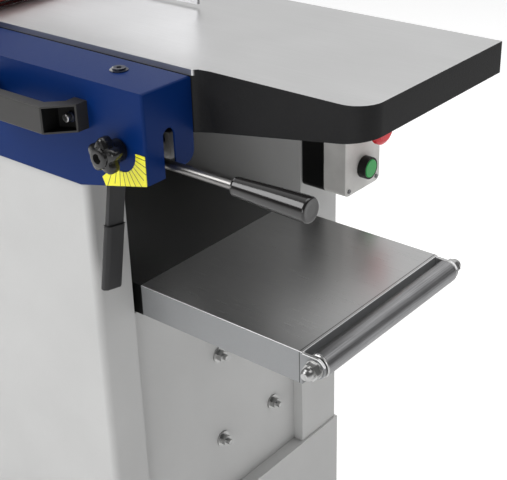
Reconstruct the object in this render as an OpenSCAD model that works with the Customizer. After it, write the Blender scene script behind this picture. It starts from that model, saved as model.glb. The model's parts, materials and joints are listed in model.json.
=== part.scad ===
// Thickness planer with folding surfacing tables, 260 mm class.
// X runs along the feed, Y from the operator to the back, Z up from the floor.
// The origin is on the floor under the middle of the cutterblock.

/* [Thickness table] */
// Width of the thickness table
table_w = 260; // [220:1:320]
// Height of the thickness table's top at its lowest setting
table_top = 574; // [560:1:600]
// Length of the cast thickness table
table_l = 540; // [480:1:600]
// Length of the extension plate
extension_l = 228; // [180:1:280]
// Depth of the table's side skirts
table_depth = 38.7; // [32:0.1:44]
// Travel of the thickness table
table_lift = 200; // [150:1:200]
// Diameter of the end roller
roller_d = 27; // [22:0.5:32]
// Diameter of the end roller's axle
axle_d = 10; // [8:0.5:12]

/* [Cabinet] */
// Length of the cabinet along the feed
cabinet_l = 544; // [500:1:600]
// Thickness of the near pillar
near_w = 52; // [46:1:60]
// Thickness of the far pillar
far_w = 79; // [72:1:95]
// Gap between the table and the near pillar
near_gap = 14; // [10:1:20]
// Gap between the table and the far pillar
far_gap = 33; // [30:1:40]
// Height of the plinth
plinth_h = 179.5; // [170:0.5:190]
// Step of the plinth outside the pillars
plinth_step = 3; // [1:0.5:5]
// Sheet thickness of the cabinet
sheet = 2.5; // [1.5:0.5:4]
// Diameter of the anchor holes
anchor_d = 12; // [8:0.5:16]

/* [Surfacing tables] */
// Height of the outfeed table's top
surface_z = 850; // [845:1:870]
// Depth of cut of the infeed table at rest
cut_depth = 3; // [1:0.5:4]
// Distance from the cutterblock to the tables' outer ends
surface_l = 567; // [540:1:600]
// Corner radius of the tables' outer ends
corner_r = 28; // [15:1:40]
// Thickness of the tables' skin
skin = 12; // [9:1:14]

/* [Cutterblock] */
// Diameter of the circle that the knives cut
cut_d = 72; // [66:1:76]
// Outer diameter of the cutterblock's bearings
bearing_d = 40; // [36:1:42]
// Journal diameter in the bearings
journal_d = 17; // [15:1:20]
// Diameter of the feed rollers
feed_d = 40; // [36:1:42]
// Distance of the feed rollers from the cutterblock
feed_x = 62; // [60:1:66]

/* [Front cover and controls] */
// Length of the front cover
cover_l = 734.8; // [700:0.2:760]
// Width of the slot in the cover's end
slot_w = 16; // [13:1:20]
// Distance of the cover's screws from the middle
cover_screw_x = 299; // [285:1:310]
// Distance from the middle to the ends of the frame's long rail
rail_end_x = 300; // [295:1:320]
// Distance from the middle to the inner side of the lever's bearer
bearer_x = 290; // [285:1:300]
// Diameter of the depth lever's rod
rod_d = 10; // [8:1:12]
// Diameter of the star knob
knob_d = 40; // [34:1:46]
// Length of the bow handle
handle_l = 156; // [140:1:180]
// Height of the switch box
box_h = 120; // [110:1:130]

/* [Drive and lift] */
// Outer diameter of the lifting column
column_d = 80; // [70:1:90]
// Diameter of the elevating screw
screw_d = 24; // [20:1:28]
// Diameter of the handwheel
wheel_d = 140; // [120:1:150]
// Radius of the motor's pulley
motor_pulley_r = 47; // [42:0.5:55]
// Radius of the cutterblock's pulley
cutter_pulley_r = 27; // [22:0.5:28]

/* [Hidden] */
$fn = 64;
run = 0.05;
gap = 0.3;
eps = 0.01;

cab_x = cabinet_l / 2;
near_in = -table_w / 2 - near_gap;
near_out = near_in - near_w;
far_in = table_w / 2 + far_gap;
far_out = far_in + far_w;
near_top = 765;
far_top = 770;
plate_top = table_top - table_depth - 2.3;
deck_t = 4;

infeed_z = surface_z - cut_depth;
cutter_z = surface_z - cut_d / 2;
feed_z = cutter_z - cut_d / 2 + feed_d / 2 - 1;
lip_x = cut_d / 2 + 4;
strip_y = -table_w / 2 - 3;
edge_y = strip_y + 6;
back_y = table_w / 2 - 15;
arm_bottom = cutter_z - cut_d / 2 + 5;
arm_top = arm_bottom + 34;

cover_x = cover_l / 2;
cover_front = near_out - 4.5;
cover_back = strip_y - 0.5;
cover_top = infeed_z - 6;
cover_bottom = cover_top - 117;
kink_x = cover_x - 97.4;
rail_bottom = 790;
rail_top = 815;
rail_y0 = near_out + 6;
rail_y1 = rail_y0 + 22;

pivot_x = cover_x - 35.4;
pivot_z = 777;
rod_y = -168;
rod_z = pivot_z - 18;
stud_d = 10;
eccentric = 6;
eccentric_r = 14;

clamp_x = cab_x + 28;
clamp_y = near_out + 20;
clamp_z = 748;
clamp_tilt = 10;

hinge_y = far_in + 42;
hinge_z = surface_z - 15;
hinge_x = 165;
hinge_pin_d = 16;

plate_x = cab_x - 17;
head_x = 115;
near_head_y = near_in - 18;
near_head_t = 16;
far_head_y = far_in + 3;
far_head_t = 14;
head_top = cover_top - 3.5;
bearing_t = 12;
bar_x = -feed_x - 43;
bar_z = feed_z + 15;
bar_d = 12;

belt_y = far_in + 29;
belt_w = 21;
belt_t = 3.5;
motor_x = 150;
motor_z = 95;
motor_d = 124;
motor_y0 = -70;
motor_y1 = far_in - 11;

bevel_z = 110;
bevel_r = 30;
column_z0 = bevel_z + bevel_r + 10;
guide_top = column_z0 + table_lift + 90;
column_in = column_d - 24;
nut_h = 35;

roller_x = table_l / 2 + extension_l + 16;
roller_z = table_top - roller_d / 2;
ear_t = 4;

box_x = cab_x;
box_y0 = far_in + 3.5;
box_w = 76.5;
box_z0 = 588;
box_half = 34;
button_y = box_y0 + 39.5;
start_z = box_z0 + 31;
stop_z = box_z0 + 88;

fence_x = -100;
fence_y = 30;
fence_z = surface_z + 12;
guard_x = -110;
guard_w = 90;

// ---------- shared shapes ----------

// Box given by its lowest and highest corners
module block(a, b) {
    translate(a) cube([b[0] - a[0], b[1] - a[1], b[2] - a[2]]);
}

// Cylinder along Y from y0 to y1
module along_y(x, z, y0, y1, d) {
    translate([x, y1, z]) rotate([90, 0, 0]) cylinder(h = y1 - y0, d = d);
}

// Cylinder along X from x0 to x1
module along_x(y, z, x0, x1, d) {
    translate([x0, y, z]) rotate([0, 90, 0]) cylinder(h = x1 - x0, d = d);
}

// Cylinder along Z from z0 to z1
module along_z(x, y, z0, z1, d) {
    translate([x, y, z0]) cylinder(h = z1 - z0, d = d);
}

// Extrudes an outline drawn in X and Z along Y from y0 to y1
module extrude_y(y0, y1) {
    translate([0, y1, 0]) rotate([90, 0, 0]) linear_extrude(y1 - y0) children();
}

// Extrudes an outline drawn in Y and Z along X from x0 to x1
module extrude_x(x0, x1) {
    translate([x0, 0, 0]) rotate([90, 0, 90]) linear_extrude(x1 - x0) children();
}

// Rectangle with four true arcs at its corners
module rounded(w, h, r) {
    translate([r, 0]) square([w - 2 * r, h]);
    translate([0, r]) square([w, h - 2 * r]);
    for (x = [r, w - r], y = [r, h - r]) translate([x, y]) circle(r);
}

// Outline of a belt round two pulleys, from their centres and radii
module loop_outline(p, q, rp, rq) {
    hull() {
        translate(p) circle(rp);
        translate(q) circle(rq);
    }
}

// ---------- cabinet ----------

// Hollow sheet box on legs of a return flange
module plinth() {
    x = cab_x + plinth_step;
    y0 = near_out - plinth_step;
    y1 = far_out + plinth_step;
    color("gainsboro") difference() {
        union() {
            difference() {
                block([-x, y0, 0], [x, y1, plinth_h]);
                block([-x + sheet, y0 + sheet, deck_t], [x - sheet, y1 - sheet, plinth_h - deck_t]);
                block([-x + 45, y0 + 45, -1], [x - 45, y1 - 45, deck_t + 1]);
            }
            block([-30, y0 + sheet, bevel_z - 65], [30, y1 - sheet, bevel_z - 47]);
            block([-30, y0 + 40, 0], [30, y1 - 40, deck_t]);
            along_y(0, bevel_z, y0 + sheet, y0 + 22, 34);
        }
        along_z(0, 0, plinth_h - deck_t - 1, plinth_h + 1, column_d + 10);
        along_z(0, 0, bevel_z - 70, bevel_z - 40, 16 + 2 * run);
        along_y(0, bevel_z, y0 - 1, y0 + 30, 16 + 2 * run);
        block([motor_x - 95, belt_y - 6, plinth_h - deck_t - 1],
              [motor_x + 60, belt_y + belt_w + 6, plinth_h + 1]);
        for (sx = [-1, 1], y = [y0 + 25, y1 - 25]) along_z(sx * (x - 25), y, -1, deck_t + 1, anchor_d);
    }
}

// Box pillar on the operator's side, with rounded front corners
module near_pillar() {
    r = 8;
    color("gainsboro") difference() {
        linear_extrude_from(plinth_h, near_top) pillar_outline(near_out, near_in, r, 0);
        linear_extrude_from(plinth_h + sheet, near_top - sheet) pillar_outline(near_out, near_in, r, sheet);
    }
}

// Plan of a pillar whose front corners are rounded, inset by t
module pillar_outline(y0, y1, r, t) {
    difference() {
        translate([-cab_x + t, y0 + t]) square([cabinet_l - 2 * t, y1 - y0 - 2 * t]);
        for (s = [-1, 1]) difference() {
            translate([s > 0 ? cab_x - r : -cab_x, y0]) square(r);
            translate([s * (cab_x - r), y0 + r]) circle(r - t);
        }
    }
}

// Extrudes a plan outline from z0 to z1
module linear_extrude_from(z0, z1) {
    translate([0, 0, z0]) linear_extrude(z1 - z0) children();
}

// Box pillar at the back, which holds the belt
module far_pillar() {
    color("gainsboro") difference() {
        block([-cab_x, far_in, plinth_h], [cab_x, far_out, far_top]);
        block([-cab_x + sheet, far_in + sheet, plinth_h - 1],
              [cab_x - sheet, far_out - sheet, far_top - sheet]);
        block([-50, belt_y - 6, far_top - sheet - 1], [70, belt_y + belt_w + 6, far_top + 1]);
    }
}

// Recessed plates that close the space under the table at both ends
module end_plates() {
    color("gainsboro") for (s = [-1, 1]) difference() {
        union() {
            block([s * plate_x - 2, near_in, plinth_h], [s * plate_x + 2, far_in, plate_top]);
            block([min(s * plate_x, s * (plate_x - 14)), near_in, plate_top - 4],
                [max(s * plate_x, s * (plate_x - 14)), far_in, plate_top]);
        }
        for (y = plate_bolt_y, z = plate_bolt_z) along_x(y, z, s * plate_x - 9, s * plate_x + 9, 9);
    }
}

plate_bolt_y = [8, 114];
plate_bolt_z = [272, 405];

// Bolts of the end plates, with washers and bright domed ends
module plate_bolts() {
    color("silver") for (s = [-1, 1], y = plate_bolt_y, z = plate_bolt_z) {
        translate([s * (plate_x + 2), y, z]) rotate([0, s * 90, 0]) {
            cylinder(h = 2, d = 22);
            translate([0, 0, 2]) cylinder(h = 7, d = 15, $fn = 6);
            translate([0, 0, 9]) cylinder(h = 6, d = 8);
            translate([0, 0, -14]) cylinder(h = 14, d = 8);
        }
    }
}

// Cast guide that the lifting column slides in
module column_guide() {
    color("dimgray") difference() {
        union() {
            block([-80, -80, plinth_h], [80, 80, plinth_h + 12]);
            along_z(0, 0, plinth_h, guide_top, column_d + 40);
        }
        along_z(0, 0, plinth_h - 1, guide_top + 1, column_d + 2 * run);
    }
}

// Induction motor with cooling ribs and a terminal box
module motor() {
    color("slategray") {
        along_y(motor_x, motor_z, motor_y0 + 20, motor_y1, motor_d - 12);
        along_y(motor_x, motor_z, motor_y0, motor_y0 + 20, motor_d);
        along_y(motor_x, motor_z, motor_y1 - 12, motor_y1, motor_d);
        for (i = [0:6])
            along_y(motor_x, motor_z, motor_y0 + 34 + i * 22, motor_y0 + 39 + i * 22, motor_d - 4);
        block([motor_x + 40, motor_y0 + 60, motor_z - 30], [motor_x + 80, motor_y0 + 130, motor_z + 20]);
    }
}

// Angle that hangs the motor from the plinth's deck
module motor_bracket() {
    top = plinth_h - deck_t;
    color("dimgray") difference() {
        union() {
            block([motor_x - 75, motor_y1, motor_z - 60], [motor_x + 75, motor_y1 + 8, top]);
            block([motor_x - 75, motor_y1 - 50, top - 6], [motor_x + 75, motor_y1 + 8, top]);
        }
        along_y(motor_x, motor_z, motor_y1 - 1, motor_y1 + 9, 40);
    }
}

// Cheek that carries the cutterblock, the feed rollers and the kickback bar
module head_plate(y0, y1, z0) {
    difference() {
        block([-head_x, y0, z0], [head_x, y1, head_top]);
        along_y(0, cutter_z, y0 - 1, y1 + 1, bearing_d);
        for (s = [-1, 1]) along_y(s * feed_x, feed_z, y0 - 1, y1 + 1, 20 + 2 * run);
        along_y(bar_x, bar_z, y0 - 1, y1 + 1, bar_d + 2 * run);
    }
}

module near_head_plate() {
    color("dimgray") head_plate(near_head_y, near_head_y + near_head_t, near_top);
}

module far_head_plate() {
    color("dimgray") head_plate(far_head_y, far_head_y + far_head_t, far_top);
}

// Ball bearings of the cutterblock, as rings
module cutter_bearings() {
    color("silver") for (y = [near_head_y + 2, far_head_y + 1]) difference() {
        along_y(0, cutter_z, y, y + bearing_t, bearing_d - 2 * run);
        along_y(0, cutter_z, y - 1, y + bearing_t + 1, journal_d);
    }
}

// Hood over the cutterblock's pulley
module belt_guard() {
    color("gainsboro") difference() {
        block([-62, belt_y - 8, far_top], [78, belt_y + belt_w + 8, surface_z - 2]);
        block([-60, belt_y - 6, far_top - 1], [76, belt_y + belt_w + 6, surface_z - 4]);
        along_y(0, cutter_z, belt_y - 9, belt_y, journal_d + 6);
    }
}

// Poly-V belt from the motor to the cutterblock
module drive_belt() {
    p = [0, cutter_z];
    q = [motor_x, motor_z];
    color("#202020") extrude_y(belt_y + 2, belt_y + belt_w - 2) difference() {
        loop_outline(p, q, cutter_pulley_r + belt_t, motor_pulley_r + belt_t);
        loop_outline(p, q, cutter_pulley_r + gap, motor_pulley_r + gap);
    }
}

sprocket_r = 28.5;
chain_y = table_w / 2 + 10;

// Chain that joins the two feed rollers
module feed_chain() {
    p = [-feed_x, feed_z];
    q = [feed_x, feed_z];
    color("dimgray") extrude_y(chain_y + 1, chain_y + 5) difference() {
        loop_outline(p, q, sprocket_r + 4.5, sprocket_r + 4.5);
        loop_outline(p, q, sprocket_r + gap, sprocket_r + gap);
    }
}

// Rear half of the switch box
module switch_box() {
    color("#1a1a1a") translate([0, box_y0, box_z0]) difference() {
        extrude_x(box_x, box_x + box_half) rounded(box_w, box_h, 8);
        extrude_x(box_x + 3, box_x + box_half + 1) translate([3, 3]) rounded(box_w - 6, box_h - 6, 5);
    }
}

// Front half of the switch box
module switch_cover() {
    x0 = box_x + box_half;
    color("gainsboro") difference() {
        translate([0, box_y0, box_z0]) difference() {
            extrude_x(x0, x0 + box_half) rounded(box_w, box_h, 8);
            extrude_x(x0 - 1, x0 + box_half - 3) translate([3, 3]) rounded(box_w - 6, box_h - 6, 5);
        }
        along_x(button_y, start_z, x0, x0 + box_half + 1, 24);
        along_x(button_y, stop_z, x0, x0 + box_half + 1, 24);
    }
}

bezel_d = 29;
bezel_h = 12;

// Collars of the two buttons, through the box's front
module button_bezel() {
    x1 = box_x + 2 * box_half;
    color("#1a1a1a") for (z = [start_z, stop_z]) difference() {
        union() {
            along_x(button_y, z, x1, x1 + bezel_h, bezel_d);
            along_x(button_y, z, x1 - 16, x1, 23.9);
        }
        along_x(button_y, z, x1 - 17, x1 + bezel_h + 1, 20);
        along_x(button_y, z, x1 + 4, x1 + bezel_h + 1, 24.6);
    }
}

// Screws at the corners of the switch box
module switch_screws() {
    x1 = box_x + 2 * box_half;
    color("gray")
        for (y = [box_y0 + 8, box_y0 + box_w - 8], z = [box_z0 + 7, box_z0 + box_h - 7]) difference() {
        along_x(y, z, x1, x1 + 1.2, 6);
        block([x1 + 0.6, y - 2.5, z - 0.5], [x1 + 2, y + 2.5, z + 0.5]);
    }
}

// Shafts on the pillar's ends that carry the clamp levers
module clamp_pivots() {
    color("silver") for (s = [-1, 1]) translate([s * cab_x, clamp_y, clamp_z]) rotate([0, s * 90, 0]) {
        cylinder(h = 40, d = 16);
        cylinder(h = 3, d = 30);
    }
}

// Brackets and pins that the folding tables turn on
module hinge_brackets() {
    color("silver") for (s = [-1, 1]) {
        for (t = [-1, 1]) difference() {
            union() {
                extrude_x(s * hinge_x + t * 20 - 4, s * hinge_x + t * 20 + 4) {
                    translate([hinge_y - 15, far_top]) square([30, hinge_z - far_top]);
                    translate([hinge_y, hinge_z]) circle(15);
                }
                block([s * hinge_x + t * 20 - 4, hinge_y - 32, far_top],
                    [s * hinge_x + t * 20 + 4, hinge_y + 30, far_top + 8]);
            }
            along_x(hinge_y, hinge_z, s * hinge_x + t * 20 - 5, s * hinge_x + t * 20 + 5, hinge_pin_d);
        }
        along_x(hinge_y, hinge_z, s * hinge_x - 27, s * hinge_x + 27, hinge_pin_d - 2 * run);
    }
}

// Rod that the kickback fingers hang on
module kickback_bar() {
    color("silver") along_y(bar_x, bar_z, near_head_y, far_head_y + far_head_t, bar_d);
}

// ---------- thickness table ----------

// Cast table with skirts, ribs and a boss for the column
module thickness_table() {
    x = table_l / 2;
    y = table_w / 2;
    low = table_top - table_depth;
    color("dimgray") difference() {
        union() {
            difference() {
                block([-x, -y, low], [x, y, table_top]);
                block([-x + 9, -y + 9, low - 1], [x - 9, y - 9, table_top - skin]);
            }
            along_z(0, 0, low, table_top - skin + eps, column_d + 40);
            for (s = [-1, 1]) {
                block([s * 150 - 5, -y + 9 - eps, low + 8],
                      [s * 150 + 5, y - 9 + eps, table_top - skin + eps]);
                block([min(s * 55, s * (x - 9)), -5, low + 8],
                      [max(s * 55, s * (x - 9)), 5, table_top - skin + eps]);
            }
        }
        for (i = [0, 1]) along_x(-80 + i * 160, low + 16, x - 12, x + 1, 8);
    }
}

// Extension plate with side skirts and round ears for the roller
module table_extension() {
    x0 = table_l / 2;
    x1 = x0 + extension_l;
    y = table_w / 2;
    low = table_top - table_depth;
    color("darkgray") difference() {
        union() {
            difference() {
                block([x0, -y, low], [x1, y, table_top]);
                block([x0 + 6, -y + ear_t, low - 1], [x1 - 5, y - ear_t, table_top - 6]);
            }
            for (s = [-1, 1]) extrude_y(s > 0 ? y - ear_t : -y, s > 0 ? y : -y + ear_t) {
                translate([x1 - 20, roller_z - 12]) square([roller_x - x1 + 20, 24]);
                translate([roller_x, roller_z]) circle(12);
            }
        }
        for (s = [-1, 1]) along_y(roller_x, roller_z, s * y - 5, s * y + 5, axle_d + 2 * run);
    }
}

// Tube that the thickness table stands on
module lifting_column() {
    top = table_top - table_depth;
    color("silver") difference() {
        union() {
            along_z(0, 0, column_z0, top, column_d);
            along_z(0, 0, top - 10, top, column_d + 40);
        }
        along_z(0, 0, column_z0 - 1, top + 1, column_in);
    }
}

// Bronze nut in the foot of the column
module lifting_nut() {
    color("peru") difference() {
        along_z(0, 0, column_z0, column_z0 + nut_h, column_in - 2 * run);
        along_z(0, 0, column_z0 - 1, column_z0 + nut_h + 1, screw_d + 2 * gap);
    }
}

// Rod through the end roller
module roller_axle() {
    y = table_w / 2;
    color("silver") along_y(roller_x, roller_z, -y - 12, y + 12, axle_d);
}

// Washer, hexagon nut and cap at both ends of the axle
module roller_nuts() {
    y = table_w / 2;
    color("silver") for (s = [-1, 1]) difference() {
        translate([roller_x, s * y, roller_z]) rotate([-s * 90, 0, 0]) {
            cylinder(h = 2, d = 2 * axle_d + 1);
            translate([0, 0, 2]) cylinder(h = 7.5, d = 1.96 * axle_d, $fn = 6);
            translate([0, 0, 9.5]) cylinder(h = 5, d = 1.4 * axle_d);
            translate([0, 0, 14.5]) cylinder(h = 4, d1 = 1.4 * axle_d, d2 = 0.8 * axle_d);
        }
        along_y(roller_x, roller_z, -y - 12, y + 12, axle_d + 2 * run);
    }
}

// Idle roller at the end of the extension
module table_roller() {
    y = table_w / 2 - ear_t - 1;
    color("dimgray") difference() {
        along_y(roller_x, roller_z, -y, y, roller_d);
        along_y(roller_x, roller_z, -y - 1, y + 1, axle_d + 3 * run);
    }
}

// ---------- lift drive ----------

// Cone of a mitre gear, largest at the origin, with straight tooth spaces
module mitre_gear(r) {
    difference() {
        union() {
            cylinder(h = 12, r1 = r - 0.4, r2 = r - 12.4);
            translate([0, 0, -8]) cylinder(h = 8, r = r - 0.4);
        }
        for (i = [0:15]) rotate([0, 0, i * 22.5]) translate([r - 6, 0, 6]) rotate([0, -45, 0])
            translate([-14, -1.4, 4.5]) cube([28, 2.8, 8]);
    }
}

// Vertical screw with its mitre gear and foot journal
module elevating_screw() {
    foot = bevel_z - 65;
    color("silver") {
        along_z(0, 0, foot - 4, foot + 18.2, 16);
        along_z(0, 0, foot + 18.2, bevel_z - bevel_r - 7, 30);
        along_z(0, 0, bevel_z - bevel_r, column_z0 + nut_h + table_lift + 15, screw_d);
        translate([0, 0, bevel_z - bevel_r]) mitre_gear(bevel_r);
    }
}

// Horizontal shaft with its mitre gear
module handwheel_shaft() {
    y0 = near_out - plinth_step - 40;
    color("silver") {
        along_y(0, bevel_z, y0, -screw_d / 2 - 2, 16);
        translate([0, -bevel_r, bevel_z]) rotate([-90, 11.25, 0]) mitre_gear(bevel_r);
        along_y(0, bevel_z, near_out - plinth_step + 22.5, near_out - plinth_step + 30, 26);
    }
}

// Handwheel with three spokes and a crank handle
module handwheel() {
    y0 = near_out - plinth_step - 34;
    r = wheel_d / 2 - 7;
    color("#202020") translate([0, y0, bevel_z]) rotate([-90, 0, 0]) difference() {
        union() {
            rotate_extrude() translate([r, 8]) circle(7);
            cylinder(h = 30, r = 15);
            for (i = [0:2]) rotate([0, 0, i * 120 + 30]) translate([0, -5, 3]) cube([r, 10, 9]);
            translate([r, 0, -36]) cylinder(h = 40, d = 12);
            translate([r, 0, -40]) cylinder(h = 20, d = 20);
        }
        translate([0, 0, -1]) cylinder(h = 40, d = 16 + 2 * run);
    }
}

// ---------- cutting and feed ----------

knife_l = table_w - 4;
block_d = cut_d - 3;

// Cutterblock with knife slots, chip gullets and stepped journals
module cutterblock() {
    y = table_w / 2;
    color("silver") difference() {
        union() {
            along_y(0, cutter_z, -y, y, block_d);
            along_y(0, cutter_z, -y - 6, -y, 24);
            along_y(0, cutter_z, y, y + 4, 24);
            along_y(0, cutter_z, near_head_y - 2, -y, journal_d - 2 * run);
            along_y(0, cutter_z, y, belt_y + belt_w + 4, journal_d - 2 * run);
        }
        for (i = [0:2]) translate([0, 0, cutter_z]) rotate([0, i * 120 + 20, 0]) {
            block([-1.5, -y - 1, block_d / 2 - 18], [1.5, y + 1, block_d / 2 + 2]);
            along_y(5.5, block_d / 2, -y - 1, y + 1, 11);
        }
    }
}

// Three knives, standing out of the block
module planer_knives() {
    color("lightgray") for (i = [0:2]) translate([0, 0, cutter_z]) rotate([0, i * 120 + 20, 0])
        block([-1.5, -knife_l / 2, block_d / 2 - 18], [1.5, knife_l / 2, cut_d / 2 - 0.05]);
}

// Pulley on the cutterblock's end
module cutter_pulley() {
    color("dimgray") difference() {
        along_y(0, cutter_z, belt_y, belt_y + belt_w, 2 * cutter_pulley_r);
        along_y(0, cutter_z, belt_y - 1, belt_y + belt_w + 1, journal_d);
    }
}

// Motor shaft with its pulley
module motor_pulley() {
    color("dimgray") {
        along_y(motor_x, motor_z, belt_y, belt_y + belt_w, 2 * motor_pulley_r);
        along_y(motor_x, motor_z, motor_y1 + gap, belt_y + belt_w + 4, 24);
    }
}

// Feed roller with journals and a sprocket
module feed_roller(x) {
    y = table_w / 2 - 2;
    along_y(x, feed_z, -y, y, feed_d);
    along_y(x, feed_z, near_head_y, far_head_y + far_head_t, 20);
    translate([x, chain_y + 6, feed_z]) rotate([90, 0, 0]) cylinder(h = 6, r = sprocket_r);
}

// Steel feed roller with lengthwise teeth
module toothed_feed_roller() {
    y = table_w / 2 - 2;
    color("dimgray") difference() {
        feed_roller(-feed_x);
        for (i = [0:17]) translate([-feed_x, 0, feed_z]) rotate([0, i * 20, 0])
            block([feed_d / 2 - 1.6, -y - 1, -1.3], [feed_d / 2 + 2, y + 1, 1.3]);
    }
}

// Smooth feed roller on the side of the infeed surfacing table
module smooth_feed_roller() {
    color("silver") feed_roller(feed_x);
}

finger_n = 12;

// Fingers that bite when the workpiece is thrown back
module kickback_fingers() {
    pitch = (table_w - 20) / finger_n;
    color("dimgray") for (i = [0:finger_n - 1]) {
        y0 = -table_w / 2 + 14 + i * pitch;
        difference() {
            extrude_y(y0, y0 + 12) {
                translate([bar_x, bar_z]) circle(11);
                polygon([[bar_x - 11, bar_z], [bar_x + 7, bar_z], [bar_x + 7, bar_z - 20],
                    [bar_x - 1, bar_z - 37], [bar_x - 11, bar_z - 30]]);
            }
            along_y(bar_x, bar_z, y0 - 1, y0 + 13, bar_d + 2 * gap);
        }
    }
}

// ---------- folding unit ----------

pin_x = [hinge_x, hinge_x + 100];
pin_y = [-90, 80];
pin_d = 14;

// Arm under the tables, from the near rail to the back
module cross_arm(x) {
    block([x - 15, rail_y0, arm_bottom], [x + 15, back_y - 10 - gap, arm_top - 4]);
}

// Rail, cross arms and knuckles that carry both surfacing tables
module table_frame() {
    color("dimgray") difference() {
        union() {
            block([-rail_end_x, rail_y0, rail_bottom], [rail_end_x, rail_y1, rail_top]);
            for (s = [-1, 1]) {
                for (x = pin_x) cross_arm(s * x);
                block([s * hinge_x - 14, back_y - 12, arm_bottom],
                      [s * hinge_x + 14, hinge_y - 15, arm_top - 4]);
                extrude_x(s * hinge_x - 14, s * hinge_x + 14) {
                    translate([hinge_y, hinge_z]) circle(18);
                    polygon([[hinge_y - 30, arm_bottom], [hinge_y, hinge_z - 18],
                        [hinge_y, hinge_z + 18], [hinge_y - 30, arm_top - 4]]);
                }
                block([s * cover_screw_x - 10, rail_y0, rail_top - 3], [s * cover_screw_x + 10, rod_y + 14, cover_top - sheet]);
                block([s * (cab_x + 11) - 7, clamp_y - 12, clamp_z + 18.5],
                      [s * (cab_x + 11) + 7, clamp_y + 10, rail_bottom + 2]);
            }
            block([bearer_x, rod_y + 14, pivot_z - 20], [pivot_x + 22, rod_y + 22, arm_bottom + 2]);
            block([bearer_x, rail_y1 - 6, pivot_z - 5], [pivot_x - 17, rod_y + 22, rail_top - 4]);
            along_y(pivot_x, pivot_z, cover_front - 24, rod_y + 16, stud_d);
        }
        for (s = [-1, 1])
            along_x(hinge_y, hinge_z, s * hinge_x - 15, s * hinge_x + 15, hinge_pin_d + 2 * run);
        along_z(guard_x, rail_y0 + 11, rail_bottom - 1, rail_top + 1, 16 + 2 * run);
    }
}

// Bottom edge of a table's side as height over X, deepest behind the cover
module casting_cut() {
    low = arm_bottom - 1;
    end_z = infeed_z - 33.4;
    polygon([[0, low - 60], [0, surface_z - skin - 3], [125, surface_z - skin - 3], [150, low], [375, low],
        [surface_l, end_z], [surface_l + 10, end_z + 1.6], [surface_l + 10, low - 60]]);
}

// Plan of a surfacing table, inset by t, on the side of positive X
module casting_plan(t) {
    step_x = cover_x + 1;
    difference() {
        polygon([[lip_x + t, strip_y + t], [step_x - t, strip_y + t], [step_x + 6 - t, edge_y - 1.5 + t],
            [step_x + 20 - t, edge_y + t], [surface_l - t, edge_y + t], [surface_l - t, back_y - t],
            [lip_x + t, back_y - t]]);
        difference() {
            translate([surface_l - corner_r, edge_y]) square(corner_r);
            translate([surface_l - corner_r, edge_y + corner_r]) circle(corner_r - t);
        }
    }
}

// Cast table of the side of positive X, with its top at z
module casting(z) {
    difference() {
        linear_extrude_from(arm_bottom - 2, z) casting_plan(0);
        linear_extrude_from(arm_bottom - 3, z - skin) casting_plan(10);
        extrude_y(strip_y - 1, back_y + 1) casting_cut();
        for (x = pin_x) block([x - 16, strip_y - 1, arm_bottom - 5], [x + 16, back_y + 1, arm_top - 3]);
    }
}

// Outfeed table, level with the knives, with the fence's bracket
module outfeed_table() {
    x0 = fence_x - 36;
    x1 = fence_x + 36;
    color("silver") difference() {
        union() {
            mirror([1, 0, 0]) casting(surface_z);
            for (x = pin_x, y = pin_y) along_z(-x, y, arm_top - 4, surface_z - skin + eps, 30);
            block([x0, back_y - eps, surface_z - 11], [x1, back_y + 45, surface_z + 20]);
        }
        block([x0 + 10, back_y - 1, surface_z + 2.5], [x1 - 10, back_y + 46, surface_z + 15.5]);
        block([x0 - 1, back_y - 1, surface_z - 0.5], [x1 + 1, back_y, surface_z + 21]);
    }
}

// Sheet cover along the front, with a slot in its right-hand end
module front_cover() {
    t = sheet - 0.5;
    y0 = cover_front;
    y1 = cover_back;
    color("#1f3f86") difference() {
        extrude_y(y0, y1) polygon([[-cover_x, cover_bottom + 23.7], [-kink_x, cover_bottom],
            [kink_x, cover_bottom], [cover_x, cover_bottom + 23.7],
            [cover_x, cover_top], [-cover_x, cover_top]]);
        block([-cover_x + t, y0 + t, cover_bottom - 1], [cover_x - t, y1 + 1, cover_top - t]);
        block([cover_x - t - 1, rod_y - slot_w / 2, cover_bottom],
              [cover_x + 1, rod_y + slot_w / 2, pivot_z + 13]);
        along_x(rod_y, pivot_z + 13, cover_x - t - 1, cover_x + 1, slot_w);
        along_y(pivot_x, pivot_z, y0 - 1, y0 + t + 1, stud_d + 2);
        along_z(guard_x, rail_y0 + 11, cover_top - t - 1, cover_top + 1, 18);
        for (s = [-1, 1]) along_z(s * cover_screw_x, rod_y + 6, cover_top - t - 1, cover_top + 1, 8.5);
        for (s = [-1, 1]) along_y(handle_x + s * (handle_l / 2 - 9), handle_z, y0 - 1, y0 + t + 1, 8.5);
        for (s = [-1, 1]) block([s * cover_x - t - 1, rod_y + slot_w / 2, cover_bottom - 1],
            [s * cover_x + t + 1, y1 + 1, cover_bottom + 29]);
    }
}

handle_x = cover_x - 154.4;
handle_z = cover_top - 36;
handle_h = 28.5;

// Bow handle with slanting feet and a hollow grip's screw recess
module bow_handle() {
    l = handle_l / 2;
    y0 = cover_front;
    d = 40;
    color("#2b2926") difference() {
        translate([handle_x, 0, handle_z - handle_h / 2]) linear_extrude(handle_h) difference() {
            polygon([[-l, y0], [-l, y0 - 22], [-l + 24, y0 - d], [l - 24, y0 - d], [l, y0 - 22], [l, y0],
                [l - 17, y0], [l - 17, y0 - 13], [l - 32, y0 - d + 14], [-l + 32, y0 - d + 14],
                [-l + 17, y0 - 13], [-l + 17, y0]]);
        }
        for (s = [-1, 1]) translate([handle_x + s * (l - 9), 0, handle_z]) {
            block([-5.5, y0 - d - 1, -9], [5.5, y0 - 8, 9]);
            along_y(0, 0, y0 - 9, y0 + 1, 8.5);
        }
    }
}

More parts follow.
